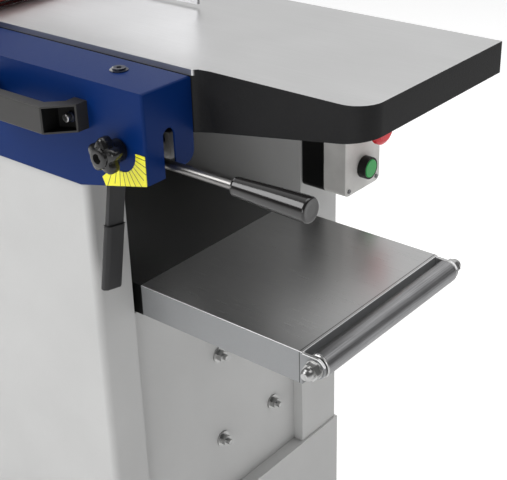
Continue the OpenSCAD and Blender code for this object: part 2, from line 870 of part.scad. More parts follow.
// Screws of the cover and of the bow handle, with their washers
module cover_screws() {
    color("silver") {
        for (s = [-1, 1]) {
            difference() {
                union() {
                    along_z(s * cover_screw_x, rod_y + 6, cover_top, cover_top + 1, 19);
                    along_z(s * cover_screw_x, rod_y + 6, cover_top + 1, cover_top + 3, 14);
                }
                translate([s * cover_screw_x, rod_y + 6, cover_top + 0.5]) cylinder(h = 5, d = 6, $fn = 6);
            }
            along_z(s * cover_screw_x, rod_y + 6, cover_top - sheet, cover_top, 8);
        }
        for (s = [-1, 1]) {
            x = handle_x + s * (handle_l / 2 - 9);
            along_y(x, handle_z, cover_front - 8, cover_front + 1.4, 8);
            difference() {
                along_y(x, handle_z, cover_front - 15, cover_front - 8, 10.6);
                translate([x, cover_front - 11, handle_z]) rotate([90, 0, 0]) cylinder(h = 5, d = 6, $fn = 6);
            }
        }
    }
}

// Yellow scale in the corner of the cover, cut out round the knob
module scale_plate() {
    y0 = cover_front;
    x1 = cover_x - 1;
    slope = 23.7 / 97.4;
    low = cover_bottom + 23.7;
    color("yellow") extrude_y(y0 - 1, y0) difference() {
        polygon([[x1 - 18, low + 31], [x1, low + 31], [x1, low], [x1 - 58, low - 58 * slope],
            [x1 - 62, low - 58 * slope + 9]]);
        translate([pivot_x, pivot_z]) circle(knob_d / 2 + 2);
    }
}

// Guide pins that keep the infeed table square on the frame
module guide_pins() {
    color("silver") for (x = pin_x, y = pin_y) along_z(x, y, arm_top - 4, infeed_z - skin - 4, pin_d);
}

// Infeed table with guide bosses and a lug over the eccentric
module infeed_table() {
    color("silver") difference() {
        union() {
            casting(infeed_z);
            for (x = pin_x, y = pin_y) along_z(x, y, arm_top - 4 + gap, infeed_z - skin + eps, 34);
            block([pivot_x - 14, rod_y + 2.5, pivot_z + eccentric_r + gap],
                  [pivot_x + 20, strip_y + eps, rail_top + 6]);
            block([pivot_x - 14, strip_y - 8, rail_top + 4], [pivot_x + 20, strip_y + 8, rail_top + 20]);
        }
        for (x = pin_x, y = pin_y) along_z(x, y, arm_top - 6, infeed_z - skin, pin_d + 2 * run);
    }
}

// Depth lever: eccentric, hub and bent rod
module depth_lever() {
    color("silver") difference() {
        union() {
            along_y(pivot_x + eccentric, pivot_z, rod_y + 2, rod_y + 10, 2 * eccentric_r);
            along_y(pivot_x, pivot_z, rod_y - 8, rod_y + 2, 30);
            block([pivot_x - 8, rod_y - 5, rod_z - 5], [pivot_x + 12, rod_y + 2, pivot_z]);
            along_x(rod_y, rod_z, pivot_x, pivot_x + 200, rod_d);
        }
        along_y(pivot_x, pivot_z, rod_y - 9, rod_y + 12, stud_d + 2 * run);
    }
}

grip_x0 = pivot_x + 118;
grip_l = 89;

// Tapered plastic grip on the depth lever
module lever_grip() {
    color("#161616") translate([grip_x0, rod_y, rod_z]) rotate([0, 90, 0]) difference() {
        union() {
            cylinder(h = 3, d1 = 15, d2 = 19);
            translate([0, 0, 3]) cylinder(h = grip_l - 12, d1 = 19, d2 = 26);
            translate([0, 0, grip_l - 9]) cylinder(h = 9, d1 = 26, d2 = 21);
        }
        translate([0, 0, -1]) cylinder(h = 83.5, d = rod_d + 2 * run);
    }
}

knob_y1 = cover_front - 1.5;

// Star knob with five lobes that locks the depth lever
module star_knob() {
    r = knob_d / 2;
    color("#1a1a1a") difference() {
        union() {
            along_y(pivot_x, pivot_z, knob_y1 - 29, knob_y1, 0.6 * knob_d);
            extrude_y(knob_y1 - 29, knob_y1 - 11) translate([pivot_x, pivot_z]) {
                circle(0.36 * knob_d);
                for (i = [0:4]) rotate(i * 72 + 18) {
                    translate([r - 6, 0]) circle(6);
                    translate([0, -6]) square([r - 6, 12]);
                }
            }
        }
        along_y(pivot_x, pivot_z, knob_y1 - 30, knob_y1 + 1, stud_d + 2 * run);
    }
}

bar_l = 137;

// Places a clamp lever's parts at its pivot, hanging with a slight outward tilt
module at_clamp(s) {
    translate([s * clamp_x, clamp_y, clamp_z]) rotate([-clamp_tilt, 0, 0]) children();
}

// Flat bar with its hub and cam
module clamp_lever(s) {
    color("#3c3c3c") difference() {
        union() {
            at_clamp(s) {
                extrude_x(-2.5, 2.5) {
                    translate([-11, -80]) square([22, 80]);
                    translate([-7, -bar_l + 6]) square([14, 60]);
                }
            }
            translate([s * (cab_x + 4), clamp_y, clamp_z]) rotate([0, s * 90, 0]) cylinder(h = 30, d = 32);
        }
        along_x(clamp_y, clamp_z, s * clamp_x - 40, s * clamp_x + 40, 16 + 2 * run);
    }
}

// Moulded sleeve on the lever's lower end
module clamp_grip(s) {
    color("#3c3c3c") at_clamp(s) difference() {
        translate([0, 0, -bar_l]) linear_extrude(71) polygon([[-5, -9], [-2, -13], [2, -13], [5, -9],
            [5, 9], [2, 13], [-2, 13], [-5, 9]]);
        extrude_x(-2.6, 2.6) {
            translate([-11.1, -80]) square([22.2, 80]);
            translate([-7.1, -bar_l + 5.9]) square([14.2, 60]);
        }
    }
}

module clamp_lever_right() {
    clamp_lever(1);
}

module clamp_grip_right() {
    clamp_grip(1);
}

module clamp_lever_left() {
    clamp_lever(-1);
}

module clamp_grip_left() {
    clamp_grip(-1);
}

// ---------- fence and guard ----------

fence_pin_y = fence_y + 22;

// Bar that carries the fence across the table
module fence_slide() {
    color("silver") {
        difference() {
            union() {
                block([fence_x - 25, fence_pin_y + 10, surface_z + 3],
                      [fence_x + 25, back_y + 85, surface_z + 15]);
                along_x(fence_pin_y, fence_z, fence_x - 12, fence_x + 12, 18);
                block([fence_x - 12, fence_pin_y, fence_z - 9],
                      [fence_x + 12, fence_pin_y + 12, fence_z + 3]);
            }
            along_x(fence_pin_y, fence_z, fence_x - 13, fence_x + 13, 10);
        }
        along_x(fence_pin_y, fence_z, fence_x - 26, fence_x + 26, 10 - 2 * run);
    }
}

// Extruded fence with ears on its back
module fence() {
    color("lightgray") difference() {
        union() {
            block([-350, fence_y, surface_z + 1], [230, fence_y + 4, surface_z + 100]);
            block([-350, fence_y, surface_z + 96], [230, fence_y + 18, surface_z + 100]);
            block([-350, fence_y, surface_z + 50], [230, fence_y + 12, surface_z + 54]);
            for (s = [-1, 1]) {
                along_x(fence_pin_y, fence_z, fence_x + s * 19 - 6, fence_x + s * 19 + 6, 18);
                block([fence_x + s * 19 - 6, fence_y, fence_z - 5],
                      [fence_x + s * 19 + 6, fence_pin_y, fence_z + 9]);
            }
        }
        along_x(fence_pin_y, fence_z, fence_x - 40, fence_x + 40, 10 + 2 * run);
    }
}

guard_z = surface_z + 6;
guard_t = 7;

// Post and arm that hold the cutterblock guard
module guard_arm() {
    y = rail_y0 + 11;
    color("silver") difference() {
        union() {
            along_z(guard_x, y, rail_bottom - 20, guard_z + 30, 16);
            along_z(guard_x, y, cover_top + gap, guard_z + 30, 24);
            block([guard_x, y - 10, guard_z + 15], [guard_w / 2 + 8, y + 10, guard_z + 28]);
            block([-guard_w / 2 - 8, y - 15, guard_z - 5], [guard_w / 2 + 8, y + 15, guard_z + 15]);
        }
        block([-guard_w / 2 - 0.5, y - 16, guard_z - 0.5],
              [guard_w / 2 + 0.5, y + 16, guard_z + guard_t + 0.5]);
    }
}

// Guard over the cutterblock, an arched extrusion
module guard_plate() {
    color("firebrick") difference() {
        block([-guard_w / 2, cover_front - 34, guard_z], [guard_w / 2, fence_y - 4, guard_z + guard_t]);
        for (s = [-1, 1])
            block([s * guard_w / 4 - 18, cover_front - 35, guard_z - 1],
                  [s * guard_w / 4 + 18, fence_y - 3, guard_z + 3]);
    }
}

// ---------- buttons ----------

// Green push button
module start_button() {
    x1 = box_x + 2 * box_half;
    color("#1f8f3f") {
        along_x(button_y, start_z, x1 + 7, x1 + bezel_h + 0.5, 24);
        along_x(button_y, start_z, x1 - 20, x1 + 7, 19.4);
    }
}

// Red mushroom button
module stop_button() {
    x1 = box_x + 2 * box_half;
    color("#b0101c") {
        along_x(button_y, stop_z, x1 - 20, x1 + bezel_h + 8, 19.4);
        translate([x1 + bezel_h + 7, button_y, stop_z]) rotate([0, 90, 0]) {
            cylinder(h = 4, d1 = 30, d2 = 40);
            translate([0, 0, 4]) cylinder(h = 6, d = 40);
            translate([0, 0, 10]) cylinder(h = 4, d1 = 40, d2 = 30);
        }
    }
}

plinth();
near_pillar();
far_pillar();
end_plates();
plate_bolts();
column_guide();
motor();
motor_bracket();
near_head_plate();
far_head_plate();
cutter_bearings();
belt_guard();
drive_belt();
feed_chain();
switch_box();
switch_cover();
button_bezel();
switch_screws();
clamp_pivots();
hinge_brackets();
kickback_bar();
thickness_table();
table_extension();
lifting_column();
lifting_nut();
roller_axle();
roller_nuts();
table_roller();
elevating_screw();
handwheel_shaft();
handwheel();
cutterblock();
planer_knives();
cutter_pulley();
motor_pulley();
toothed_feed_roller();
smooth_feed_roller();
kickback_fingers();
table_frame();
outfeed_table();
front_cover();
bow_handle();
cover_screws();
scale_plate();
guide_pins();
infeed_table();
depth_lever();
lever_grip();
star_knob();
clamp_lever_right();
clamp_grip_right();
clamp_lever_left();
clamp_grip_left();
fence_slide();
fence();
guard_arm();
guard_plate();
start_button();
stop_button();
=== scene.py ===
"""Looks of a planer thicknesser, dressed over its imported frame.

Each node of the frame gets a copy with clean faces and broken edges, in its own
finish. Turned and moulded pieces are made anew from their profiles, at the places
that the frame gives. Lengths are in metres, in the frame's own axes.
"""

import json
import logging
import math
from dataclasses import dataclass, field
from enum import Enum
from typing import Any, Optional, Union

import bmesh
import bpy
from mathutils import Matrix, Vector

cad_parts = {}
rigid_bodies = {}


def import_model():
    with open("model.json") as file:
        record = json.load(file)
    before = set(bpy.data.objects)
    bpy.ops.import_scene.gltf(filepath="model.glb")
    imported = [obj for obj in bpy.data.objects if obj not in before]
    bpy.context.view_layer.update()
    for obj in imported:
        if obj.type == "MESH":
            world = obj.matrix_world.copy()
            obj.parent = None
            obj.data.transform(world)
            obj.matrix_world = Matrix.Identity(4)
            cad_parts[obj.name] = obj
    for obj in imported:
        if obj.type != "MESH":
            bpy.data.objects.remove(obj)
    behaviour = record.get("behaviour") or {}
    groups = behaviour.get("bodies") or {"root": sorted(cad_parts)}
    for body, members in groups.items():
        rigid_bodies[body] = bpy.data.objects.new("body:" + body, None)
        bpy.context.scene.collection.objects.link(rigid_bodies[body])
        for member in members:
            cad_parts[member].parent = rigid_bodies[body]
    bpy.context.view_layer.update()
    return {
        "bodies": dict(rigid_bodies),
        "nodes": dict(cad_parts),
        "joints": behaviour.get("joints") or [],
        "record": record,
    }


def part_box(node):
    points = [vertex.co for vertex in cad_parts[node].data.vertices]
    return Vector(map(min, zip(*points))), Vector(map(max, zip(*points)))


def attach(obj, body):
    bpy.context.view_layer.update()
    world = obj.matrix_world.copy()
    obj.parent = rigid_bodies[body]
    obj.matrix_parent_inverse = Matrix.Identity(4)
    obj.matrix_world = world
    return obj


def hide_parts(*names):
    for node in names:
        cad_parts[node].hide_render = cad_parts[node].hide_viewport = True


LOG = logging.getLogger("planer")
MM = 0.001
Colour = tuple[float, float, float]
Triple = tuple[float, float, float]


class Axis(Enum):
    """Direction of a turned piece's axis or of a brushed line."""

    X = 0
    Y = 1
    Z = 2

    def grain(self, along: float, across: float) -> Triple:
        """Scale of a noise, in features a metre along this axis and across it."""
        scale = [across, across, across]
        scale[self.value] = along
        return (scale[0], scale[1], scale[2])


class Wire:
    """A value in a shader, which takes the operators of plain arithmetic."""

    def __init__(self, shader: "Shader", socket: bpy.types.NodeSocket) -> None:
        """Wraps an output socket of a node.

        Args:
            shader: Shader that the socket belongs to.
            socket: Output socket that holds the value.
        """
        self.shader = shader
        self.socket = socket

    def _math(self, operation: str, first: Any, second: Any = 0.0) -> "Wire":
        """Adds a Math node and returns its result."""
        return self.shader.node("ShaderNodeMath", {"operation": operation}, {0: first, 1: second})

    def __add__(self, other: Any) -> "Wire":
        """Sum of two values."""
        return self._math("ADD", self, other)

    def __radd__(self, other: Any) -> "Wire":
        """Sum, with the wire on the right."""
        return self._math("ADD", other, self)

    def __sub__(self, other: Any) -> "Wire":
        """Difference of two values."""
        return self._math("SUBTRACT", self, other)

    def __rsub__(self, other: Any) -> "Wire":
        """Difference, with the wire on the right."""
        return self._math("SUBTRACT", other, self)

    def __mul__(self, other: Any) -> "Wire":
        """Product of two values."""
        return self._math("MULTIPLY", self, other)

    def __truediv__(self, other: Any) -> "Wire":
        """Quotient of two values."""
        return self._math("DIVIDE", self, other)

    def __abs__(self) -> "Wire":
        """Size of the value without its sign."""
        return self._math("ABSOLUTE", self)

    def fraction(self) -> "Wire":
        """Part of the value after the point."""
        return self._math("FRACT", self)

    def angle_over(self, other: "Wire") -> "Wire":
        """Angle whose tangent is this value over the other."""
        return self._math("ARCTAN2", self, other)

    def root(self) -> "Wire":
        """Square root."""
        return self._math("SQRT", self)

    def at_least(self, other: "Wire") -> "Wire":
        """The larger of two values."""
        return self._math("MAXIMUM", self, other)

    def above(self, edge: float, soft: float) -> "Wire":
        """Mask that rises smoothly from 0 to 1 at an edge.

        Args:
            edge: Value at the middle of the rise.
            soft: Half the width of the rise.

        Returns:
            The mask.
        """
        settings = {"interpolation_type": "SMOOTHSTEP"}
        inputs = {"Value": self, "From Min": edge - soft, "From Max": edge + soft}
        return self.shader.node("ShaderNodeMapRange", settings, inputs)

    def below(self, edge: float, soft: float) -> "Wire":
        """Mask that falls smoothly from 1 to 0 at an edge."""
        return 1.0 - self.above(edge, soft)


class Shader:
    """The node tree of a material or of the world, with short calls for what they need."""

    def __init__(self, name: str, world: bool = False) -> None:
        """Makes the material or the world with its surface shader.

        Args:
            name: Name of the material or the world.
            world: Whether it is a world.
        """
        store, surface = (bpy.data.worlds, "Background") if world else (bpy.data.materials, "Principled BSDF")
        self.owner = store.new(name)
        self.owner.use_nodes = True
        self.tree = self.owner.node_tree
        self.surface = self.tree.nodes[surface]
        self._place: Optional[Wire] = None

    def node(self, kind: str, settings: dict[str, Any], inputs: dict[Any, Any], output: Any = 0) -> Wire:
        """Adds one node of any type.

        Args:
            kind: The node's type.
            settings: Properties set first; "stops" holds a ramp's places and colours.
            inputs: Values or wires of its sockets, by name or number.
            output: Output to return, by name or number.

        Returns:
            The chosen output.
        """
        made = self.tree.nodes.new(kind)
        for name, value in settings.items():
            if name == "stops":
                self._set_stops(made.color_ramp, value)
            else:
                setattr(made, name, value)
        for key, value in inputs.items():
            self._feed(made.inputs[key], value)
        return Wire(self, made.outputs[output])

    def _set_stops(self, ramp: bpy.types.ColorRamp, stops: list[tuple[float, Colour]]) -> None:
        """Gives a ramp its places and colours."""
        while len(ramp.elements) < len(stops):
            ramp.elements.new(0.5)
        for element, (place, colour) in zip(ramp.elements, stops):
            element.position = place
            element.color = (*colour, 1.0)

    def _feed(self, socket: bpy.types.NodeSocket, value: Any) -> None:
        """Links a wire to a socket, or sets the socket's own value."""
        if isinstance(value, Wire):
            self.tree.links.new(value.socket, socket)
        elif socket.type == "RGBA":
            socket.default_value = (*value, 1.0)
        else:
            socket.default_value = value

    def set(self, **sockets: Any) -> None:
        """Sets the surface's sockets; an underscore in a name stands for a space."""
        for name, value in sockets.items():
            self._feed(self.surface.inputs[name.replace("_", " ")], value)

    def place(self) -> Wire:
        """Position on the piece, in the frame's axes at rest."""
        if self._place is None:
            self._place = self.node("ShaderNodeTexCoord", {}, {}, "Object")
        return self._place

    def part(self, vector: Wire, axis: Axis) -> Wire:
        """One coordinate of a vector."""
        return self.node("ShaderNodeSeparateXYZ", {}, {0: vector}, axis.value)

    def facing(self, axis: Axis) -> Wire:
        """How far the surface faces an axis, from -1 to 1, whatever the pose."""
        return self.part(self.node("ShaderNodeTexCoord", {}, {}, "Normal"), axis)

    def noise(self, scale: Triple, detail: float = 2.0, rough: float = 0.5) -> Wire:
        """Noise from 0 to 1 with its own scale along each axis.

        Args:
            scale: Features a metre along X, Y and Z.
            detail: Octaves of finer noise.
            rough: Strength of the finer octaves.

        Returns:
            The noise.
        """
        where = self.node("ShaderNodeVectorMath", {"operation": "MULTIPLY"}, {0: self.place(), 1: scale})
        inputs = {"Vector": where, "Scale": 1.0, "Detail": detail, "Roughness": rough}
        return self.node("ShaderNodeTexNoise", {}, inputs)

    def blend(self, mask: Any, first: Any, second: Any) -> Wire:
        """Mixes two colours by a mask."""
        settings = {"data_type": "RGBA"}
        return self.node("ShaderNodeMix", settings, {0: mask, 6: first, 7: second}, 2)

    def shade(self, value: Wire, dark: Colour, light: Colour) -> Wire:
        """Colour between two tones by a value, over the middle of its range."""
        return self.node("ShaderNodeValToRGB", {"stops": [(0.3, dark), (0.7, light)]}, {0: value})

    def bump(self, height: Wire, depth: float) -> Wire:
        """Normal of a surface with a relief.

        Args:
            height: Relief from 0 to 1.
            depth: Height of the relief in metres.

        Returns:
            The normal.
        """
        return self.node("ShaderNodeBump", {}, {"Strength": 1.0, "Distance": depth, "Height": height})


def tone(colour: Colour, factor: float) -> Colour:
    """The colour made lighter or darker by a factor."""
    return (colour[0] * factor, colour[1] * factor, colour[2] * factor)


def in_scene(name: str, data: Any) -> bpy.types.Object:
    """Puts a mesh, a light or a camera into the scene as a new object."""
    made = bpy.data.objects.new(name, data)
    bpy.context.scene.collection.objects.link(made)
    return made


@dataclass(frozen=True)
class PowderCoat:
    """Baked powder paint with a faint orange peel.

    Attributes:
        name: Name of the material.
        colour: Colour of the paint.
        roughness: Roughness of the film.
        coat: Clear gloss over the colour.
        peel: Depth of the orange peel in metres.
        shine: Strength of the film's reflection.
    """

    name: str
    colour: Colour
    roughness: float = 0.42
    coat: float = 0.0
    peel: float = 0.00006
    shine: float = 0.3

    def material(self) -> bpy.types.Material:
        """Makes the material."""
        shader = Shader(self.name)
        cloud = shader.noise((7.0, 7.0, 7.0), 3.0)
        peel = shader.noise((620.0, 620.0, 620.0), 2.0)
        fleck = shader.noise((1900.0, 1900.0, 1900.0), 1.0)
        mixed = cloud * 0.7 + fleck * 0.3
        shader.set(
            Base_Color=shader.shade(mixed, tone(self.colour, 0.93), tone(self.colour, 1.05)),
            Roughness=self.roughness - 0.05 + peel * 0.1,
            Normal=shader.bump(peel, self.peel),
            Specular_IOR_Level=self.shine,
            Coat_Weight=self.coat,
            Coat_Roughness=0.25,
        )
        return shader.owner


@dataclass(frozen=True)
class BrushedMetal:
    """Metal with fine lines from brushing or turning.

    Attributes:
        name: Name of the material.
        colour: Colour of the metal.
        roughness: Mean roughness.
        scale: Features of the lines a metre along X, Y and Z.
        depth: Depth of the lines in metres.
        contrast: Difference of tone between the lines.
    """

    name: str
    colour: Colour
    roughness: float
    scale: Triple
    depth: float = 0.00002
    contrast: float = 0.12

    def material(self) -> bpy.types.Material:
        """Makes the material."""
        shader = Shader(self.name)
        lines = shader.noise(self.scale, 3.0, 0.6)
        stain = shader.noise((22.0, 22.0, 22.0), 4.0)
        dark = tone(self.colour, 1.0 - self.contrast)
        light = tone(self.colour, 1.0 + self.contrast / 2)
        shader.set(
            Base_Color=shader.shade(lines * 0.75 + stain * 0.25, dark, light),
            Metallic=1.0,
            Roughness=self.roughness - 0.06 + lines * 0.08 + stain * 0.04,
            Normal=shader.bump(lines, self.depth),
        )
        return shader.owner


@dataclass(frozen=True)
class PlanedCasting:
    """Cast iron that is painted on its sides and planed bright on its top.

    Attributes:
        name: Name of the material.
        metal: Colour of the planed iron.
        paint: Colour of the paint.
        roughness: Roughness of the planed faces.
        band_low: Lowest height of the planed band along the near edge.
        band_end: Distance from the middle where that band ends.
        grain: Features a metre of the planing lines.
        groove: Distance from the middle of a thin dark line across the top.
        shine: Strength of the paint's reflection.
        edge: Strength of the painted highlight, white paint on the rounded edge of the top.
        pit: How rough the painted casting is.
    """

    name: str
    metal: Colour
    paint: Colour
    roughness: float = 0.36
    band_low: float = 9.0
    band_end: float = 0.0
    grain: Triple = (6.0, 1100.0, 6.0)
    groove: float = 9.0
    shine: float = 0.2
    edge: float = 0.0
    pit: float = 1.0

    def material(self) -> bpy.types.Material:
        """Makes the material."""
        shader = Shader(self.name)
        lines = shader.noise(self.grain, 3.0, 0.65)
        cloud = shader.noise((9.0, 14.0, 9.0), 4.0)
        pits = shader.noise((420.0, 420.0, 420.0), 4.0, 0.7)
        height = shader.part(shader.place(), Axis.Z)
        along = abs(shader.part(shader.place(), Axis.X))
        planed = shader.facing(Axis.Z).above(0.32, 0.06)
        band = height.above(self.band_low, 0.3 * MM) * along.below(self.band_end, 1.5 * MM)
        bare = planed + band - planed * band
        metal = shader.shade(lines * 0.6 + cloud * 0.4, tone(self.metal, 0.88), tone(self.metal, 1.06))
        paint = shader.shade(pits, tone(self.paint, 1 - 0.3 * self.pit), tone(self.paint, 1 + 0.25 * self.pit))
        rough_metal = self.roughness - 0.05 + lines * 0.1
        rough_paint = 0.5 + pits * 0.16
        relief = lines * bare * 0.12 + pits * (1.0 - bare) * self.pit
        line = abs(along - self.groove).below(0.55 * MM, 0.2 * MM)
        # Painted highlight: white paint on rounded edges that face up at a slant, standing in for the light they
        # catch.
        edge_highlight = abs(shader.facing(Axis.Z) - 0.66).below(0.32, 0.03) * self.edge
        colour = shader.blend(line, shader.blend(bare, paint, metal), tone(self.metal, 0.05))
        shader.set(
            Base_Color=shader.blend(edge_highlight, colour, (1.0, 1.0, 1.0)),
            Specular_IOR_Level=self.shine,
            Metallic=bare * (1.0 - edge_highlight),
            Roughness=rough_metal * bare + rough_paint * (1.0 - bare),
            Normal=shader.bump(relief, 0.00018),
        )
        return shader.owner


@dataclass(frozen=True)
class Moulding:
    """Moulded plastic or rubber with a fine spark-eroded grain.

    Attributes:
        name: Name of the material.
        colour: Colour of the plastic.
        roughness: Mean roughness.
        grain: Depth of the mould's grain in metres.
        coat: Gloss over the colour.
        shine: Strength of the plastic's reflection.
    """

    name: str
    colour: Colour
    roughness: float
    grain: float = 0.00005
    coat: float = 0.0
    shine: float = 0.35

    def material(self) -> bpy.types.Material:
        """Makes the material."""
        shader = Shader(self.name)
        grain = shader.noise((1400.0, 1400.0, 1400.0), 2.0)
        cloud = shader.noise((30.0, 30.0, 30.0), 3.0)
        shader.set(
            Base_Color=shader.shade(cloud, tone(self.colour, 0.9), tone(self.colour, 1.1)),
            Roughness=self.roughness - 0.05 + grain * 0.06 + cloud * 0.04,
            Normal=shader.bump(grain, self.grain),
            Specular_IOR_Level=self.shine,
            Coat_Weight=self.coat,
            Coat_Roughness=0.12,
        )
        return shader.owner


@dataclass(frozen=True)
class PrintedScale:
    """Yellow plate with thin black lines that spread from the knob's axis.

    Attributes:
        name: Name of the material.
        colour: Colour of the plate.
        centre: X and Z of the knob's axis.
        pitch: Angle between two lines in radians.
        line: Width of a line.
        inner: Distance from the axis where the lines start.
        outer: Distance from the axis where the short lines end.
    """

    name: str
    colour: Colour
    centre: tuple[float, float]
    pitch: float = math.radians(11)
    line: float = 0.8 * MM
    inner: float = 21.5 * MM
    outer: float = 40 * MM

    def material(self) -> bpy.types.Material:
        """Makes the material."""
        shader = Shader(self.name)
        x = shader.part(shader.place(), Axis.X) - self.centre[0]
        z = shader.part(shader.place(), Axis.Z) - self.centre[1]
        reach = (x * x + z * z).root()
        turn = z.angle_over(x) / self.pitch
        nearest = abs(turn.fraction() - 0.5) * reach * self.pitch
        every_third = abs((turn / 3.0).fraction() - 0.5).below(0.17, 0.01)
        long_or_short = every_third + reach.below(self.outer, 0.1 * MM) * (1.0 - every_third)
        ink = nearest.below(self.line / 2, 0.08 * MM) * reach.above(self.inner, 0.1 * MM) * long_or_short
        grain = shader.noise((900.0, 900.0, 900.0))
        plate = shader.shade(grain, tone(self.colour, 0.93), self.colour)
        shader.set(
            Base_Color=shader.blend(ink, plate, (0.01, 0.01, 0.01)),
            Roughness=0.34 + grain * 0.08,
            Normal=shader.bump(grain, 0.00002),
        )
        return shader.owner


@dataclass(frozen=True)
class RimmedScrew:
    """Zinc-plated screw heads with a dark rim, one on each side of the middle.

    Attributes:
        name: Name of the material.
        centre: The screws' distance from the middle and their Y.
        bright: Radius of the bright part.
    """

    name: str
    centre: tuple[float, float]
    bright: float

    def material(self) -> bpy.types.Material:
        """Makes the material."""
        shader = Shader(self.name)
        across = abs(shader.part(shader.place(), Axis.X)) - self.centre[0]
        along = shader.part(shader.place(), Axis.Y) - self.centre[1]
        rim = (across * across + along * along).root().above(self.bright, 0.25 * MM)
        cloud = shader.noise((180.0, 180.0, 180.0), 3.0)
        plate = shader.shade(cloud, (0.30, 0.30, 0.30), (0.42, 0.42, 0.42))
        shader.set(
            Base_Color=shader.blend(rim, plate, (0.004, 0.007, 0.02)),
            Metallic=1.0 - rim,
            Roughness=0.3 + cloud * 0.1,
        )
        return shader.owner


Finish = Union[PowderCoat, BrushedMetal, PlanedCasting, Moulding, PrintedScale, RimmedScrew]

CABINET_GREY = PowderCoat("cabinet_grey_paint", (0.47, 0.47, 0.465), 0.5)
COVER_BLUE = PowderCoat("cover_blue_paint", (0.002, 0.019, 0.105), 0.36, 0.0, 0.00004, 0.07)
GUARD_RED = PowderCoat("guard_red_paint", (0.42, 0.012, 0.014), 0.35, 0.1)
MOTOR_GREY = PowderCoat("motor_paint", (0.09, 0.10, 0.11), 0.5)
FRAME_GREY = PowderCoat("frame_grey_paint", (0.24, 0.24, 0.235), 0.5)
IRON_PAINT = PowderCoat("black_iron_paint", (0.012, 0.012, 0.013), 0.55, 0.0, 0.00016, 0.2)
ZINC = BrushedMetal("zinc_plate", (0.42, 0.42, 0.415), 0.3, (180.0, 180.0, 180.0), 0.00001, 0.25)
TURNED_STEEL = BrushedMetal("turned_steel", (0.55, 0.55, 0.54), 0.26, Axis.Y.grain(1500.0, 12.0))
LEVER_STEEL = BrushedMetal("drawn_steel_rod", (0.21, 0.205, 0.20), 0.32, Axis.X.grain(12.0, 900.0), 0.00003, 0.3)
COLUMN_STEEL = BrushedMetal("ground_column", (0.6, 0.6, 0.6), 0.2, Axis.Z.grain(1300.0, 12.0))
THREADED_STEEL = BrushedMetal("screw_steel", (0.5, 0.5, 0.5), 0.3, Axis.Z.grain(200.0, 3.0), 0.0012, 0.35)
ROLLER_STEEL = BrushedMetal("roller_steel", (0.26, 0.26, 0.265), 0.40, Axis.Y.grain(9.0, 700.0), 0.00006, 0.45)
DARK_STEEL = BrushedMetal("dark_steel", (0.16, 0.16, 0.165), 0.36, (60.0, 60.0, 60.0), 0.00003, 0.2)
KNIFE_STEEL = BrushedMetal("knife_steel", (0.7, 0.7, 0.71), 0.14, Axis.Y.grain(10.0, 900.0), 0.00001)
ALUMINIUM = BrushedMetal("anodised_aluminium", (0.6, 0.6, 0.61), 0.34, Axis.X.grain(5.0, 800.0), 0.00002)
BRONZE = BrushedMetal("bearing_bronze", (0.50, 0.31, 0.13), 0.3, Axis.Z.grain(900.0, 12.0))
GRAPHITE = Moulding("graphite_nylon", (0.028, 0.027, 0.026), 0.42, 0.00008, 0.0, 0.3)
# Darker copy of the graphite nylon: painted shade on the walls of the handle's screw recesses.
RECESS_SHADE_NYLON = Moulding("nylon_recess_painted_shade", (0.004, 0.004, 0.004), 0.6, 0.00008, 0.0, 0.1)
LEVER_GREY = Moulding("dark_grey_nylon", (0.030, 0.030, 0.031), 0.45, 0.00006, 0.0, 0.25)
BLACK_NYLON = Moulding("black_nylon", (0.012, 0.012, 0.013), 0.38, 0.00004)
KNOB_BLACK = Moulding("knob_black", (0.008, 0.008, 0.008), 0.24, 0.00002, 0.2)
GRIP_BLACK = Moulding("grip_gloss_black", (0.010, 0.009, 0.009), 0.16, 0.00001, 0.5)
BOX_GREY = Moulding("box_light_grey", (0.62, 0.61, 0.59), 0.45, 0.00006)
BOX_BLACK = Moulding("box_black", (0.006, 0.006, 0.006), 0.4, 0.00006, 0.0, 0.25)
BUTTON_GREEN = Moulding("button_green", (0.005, 0.36, 0.06), 0.3, 0.00001, 0.1)
BUTTON_RED = Moulding("button_red", (0.62, 0.003, 0.014), 0.28, 0.00001, 0.1)
BELT_RUBBER = Moulding("belt_rubber", (0.014, 0.014, 0.014), 0.7, 0.0001)
SURFACE_IRON = PlanedCasting(
    "surfacing_table_iron", (0.52, 0.52, 0.52), (0.007, 0.007, 0.0075), 0.36, 840.8 * MM, 370 * MM
)
# Same planed iron as the surfacing tables, painted far darker: painted shade for the table deep inside the cabinet.
THICKNESS_IRON_SHADED = PlanedCasting("thickness_iron_painted_shade", (0.19, 0.19, 0.19), (0.006, 0.006, 0.006), 0.24)


@dataclass(frozen=True)
class Dress:
    """How one node of the frame is dressed.

    Attributes:
        node: Name of the node.
        finish: Its finish.
        edge: Width of the broken edges, in millimetres.
        rings: Number of faces across a broken edge.
    """

    node: str
    finish: Finish
    edge: float = 0.4
    rings: int = 2


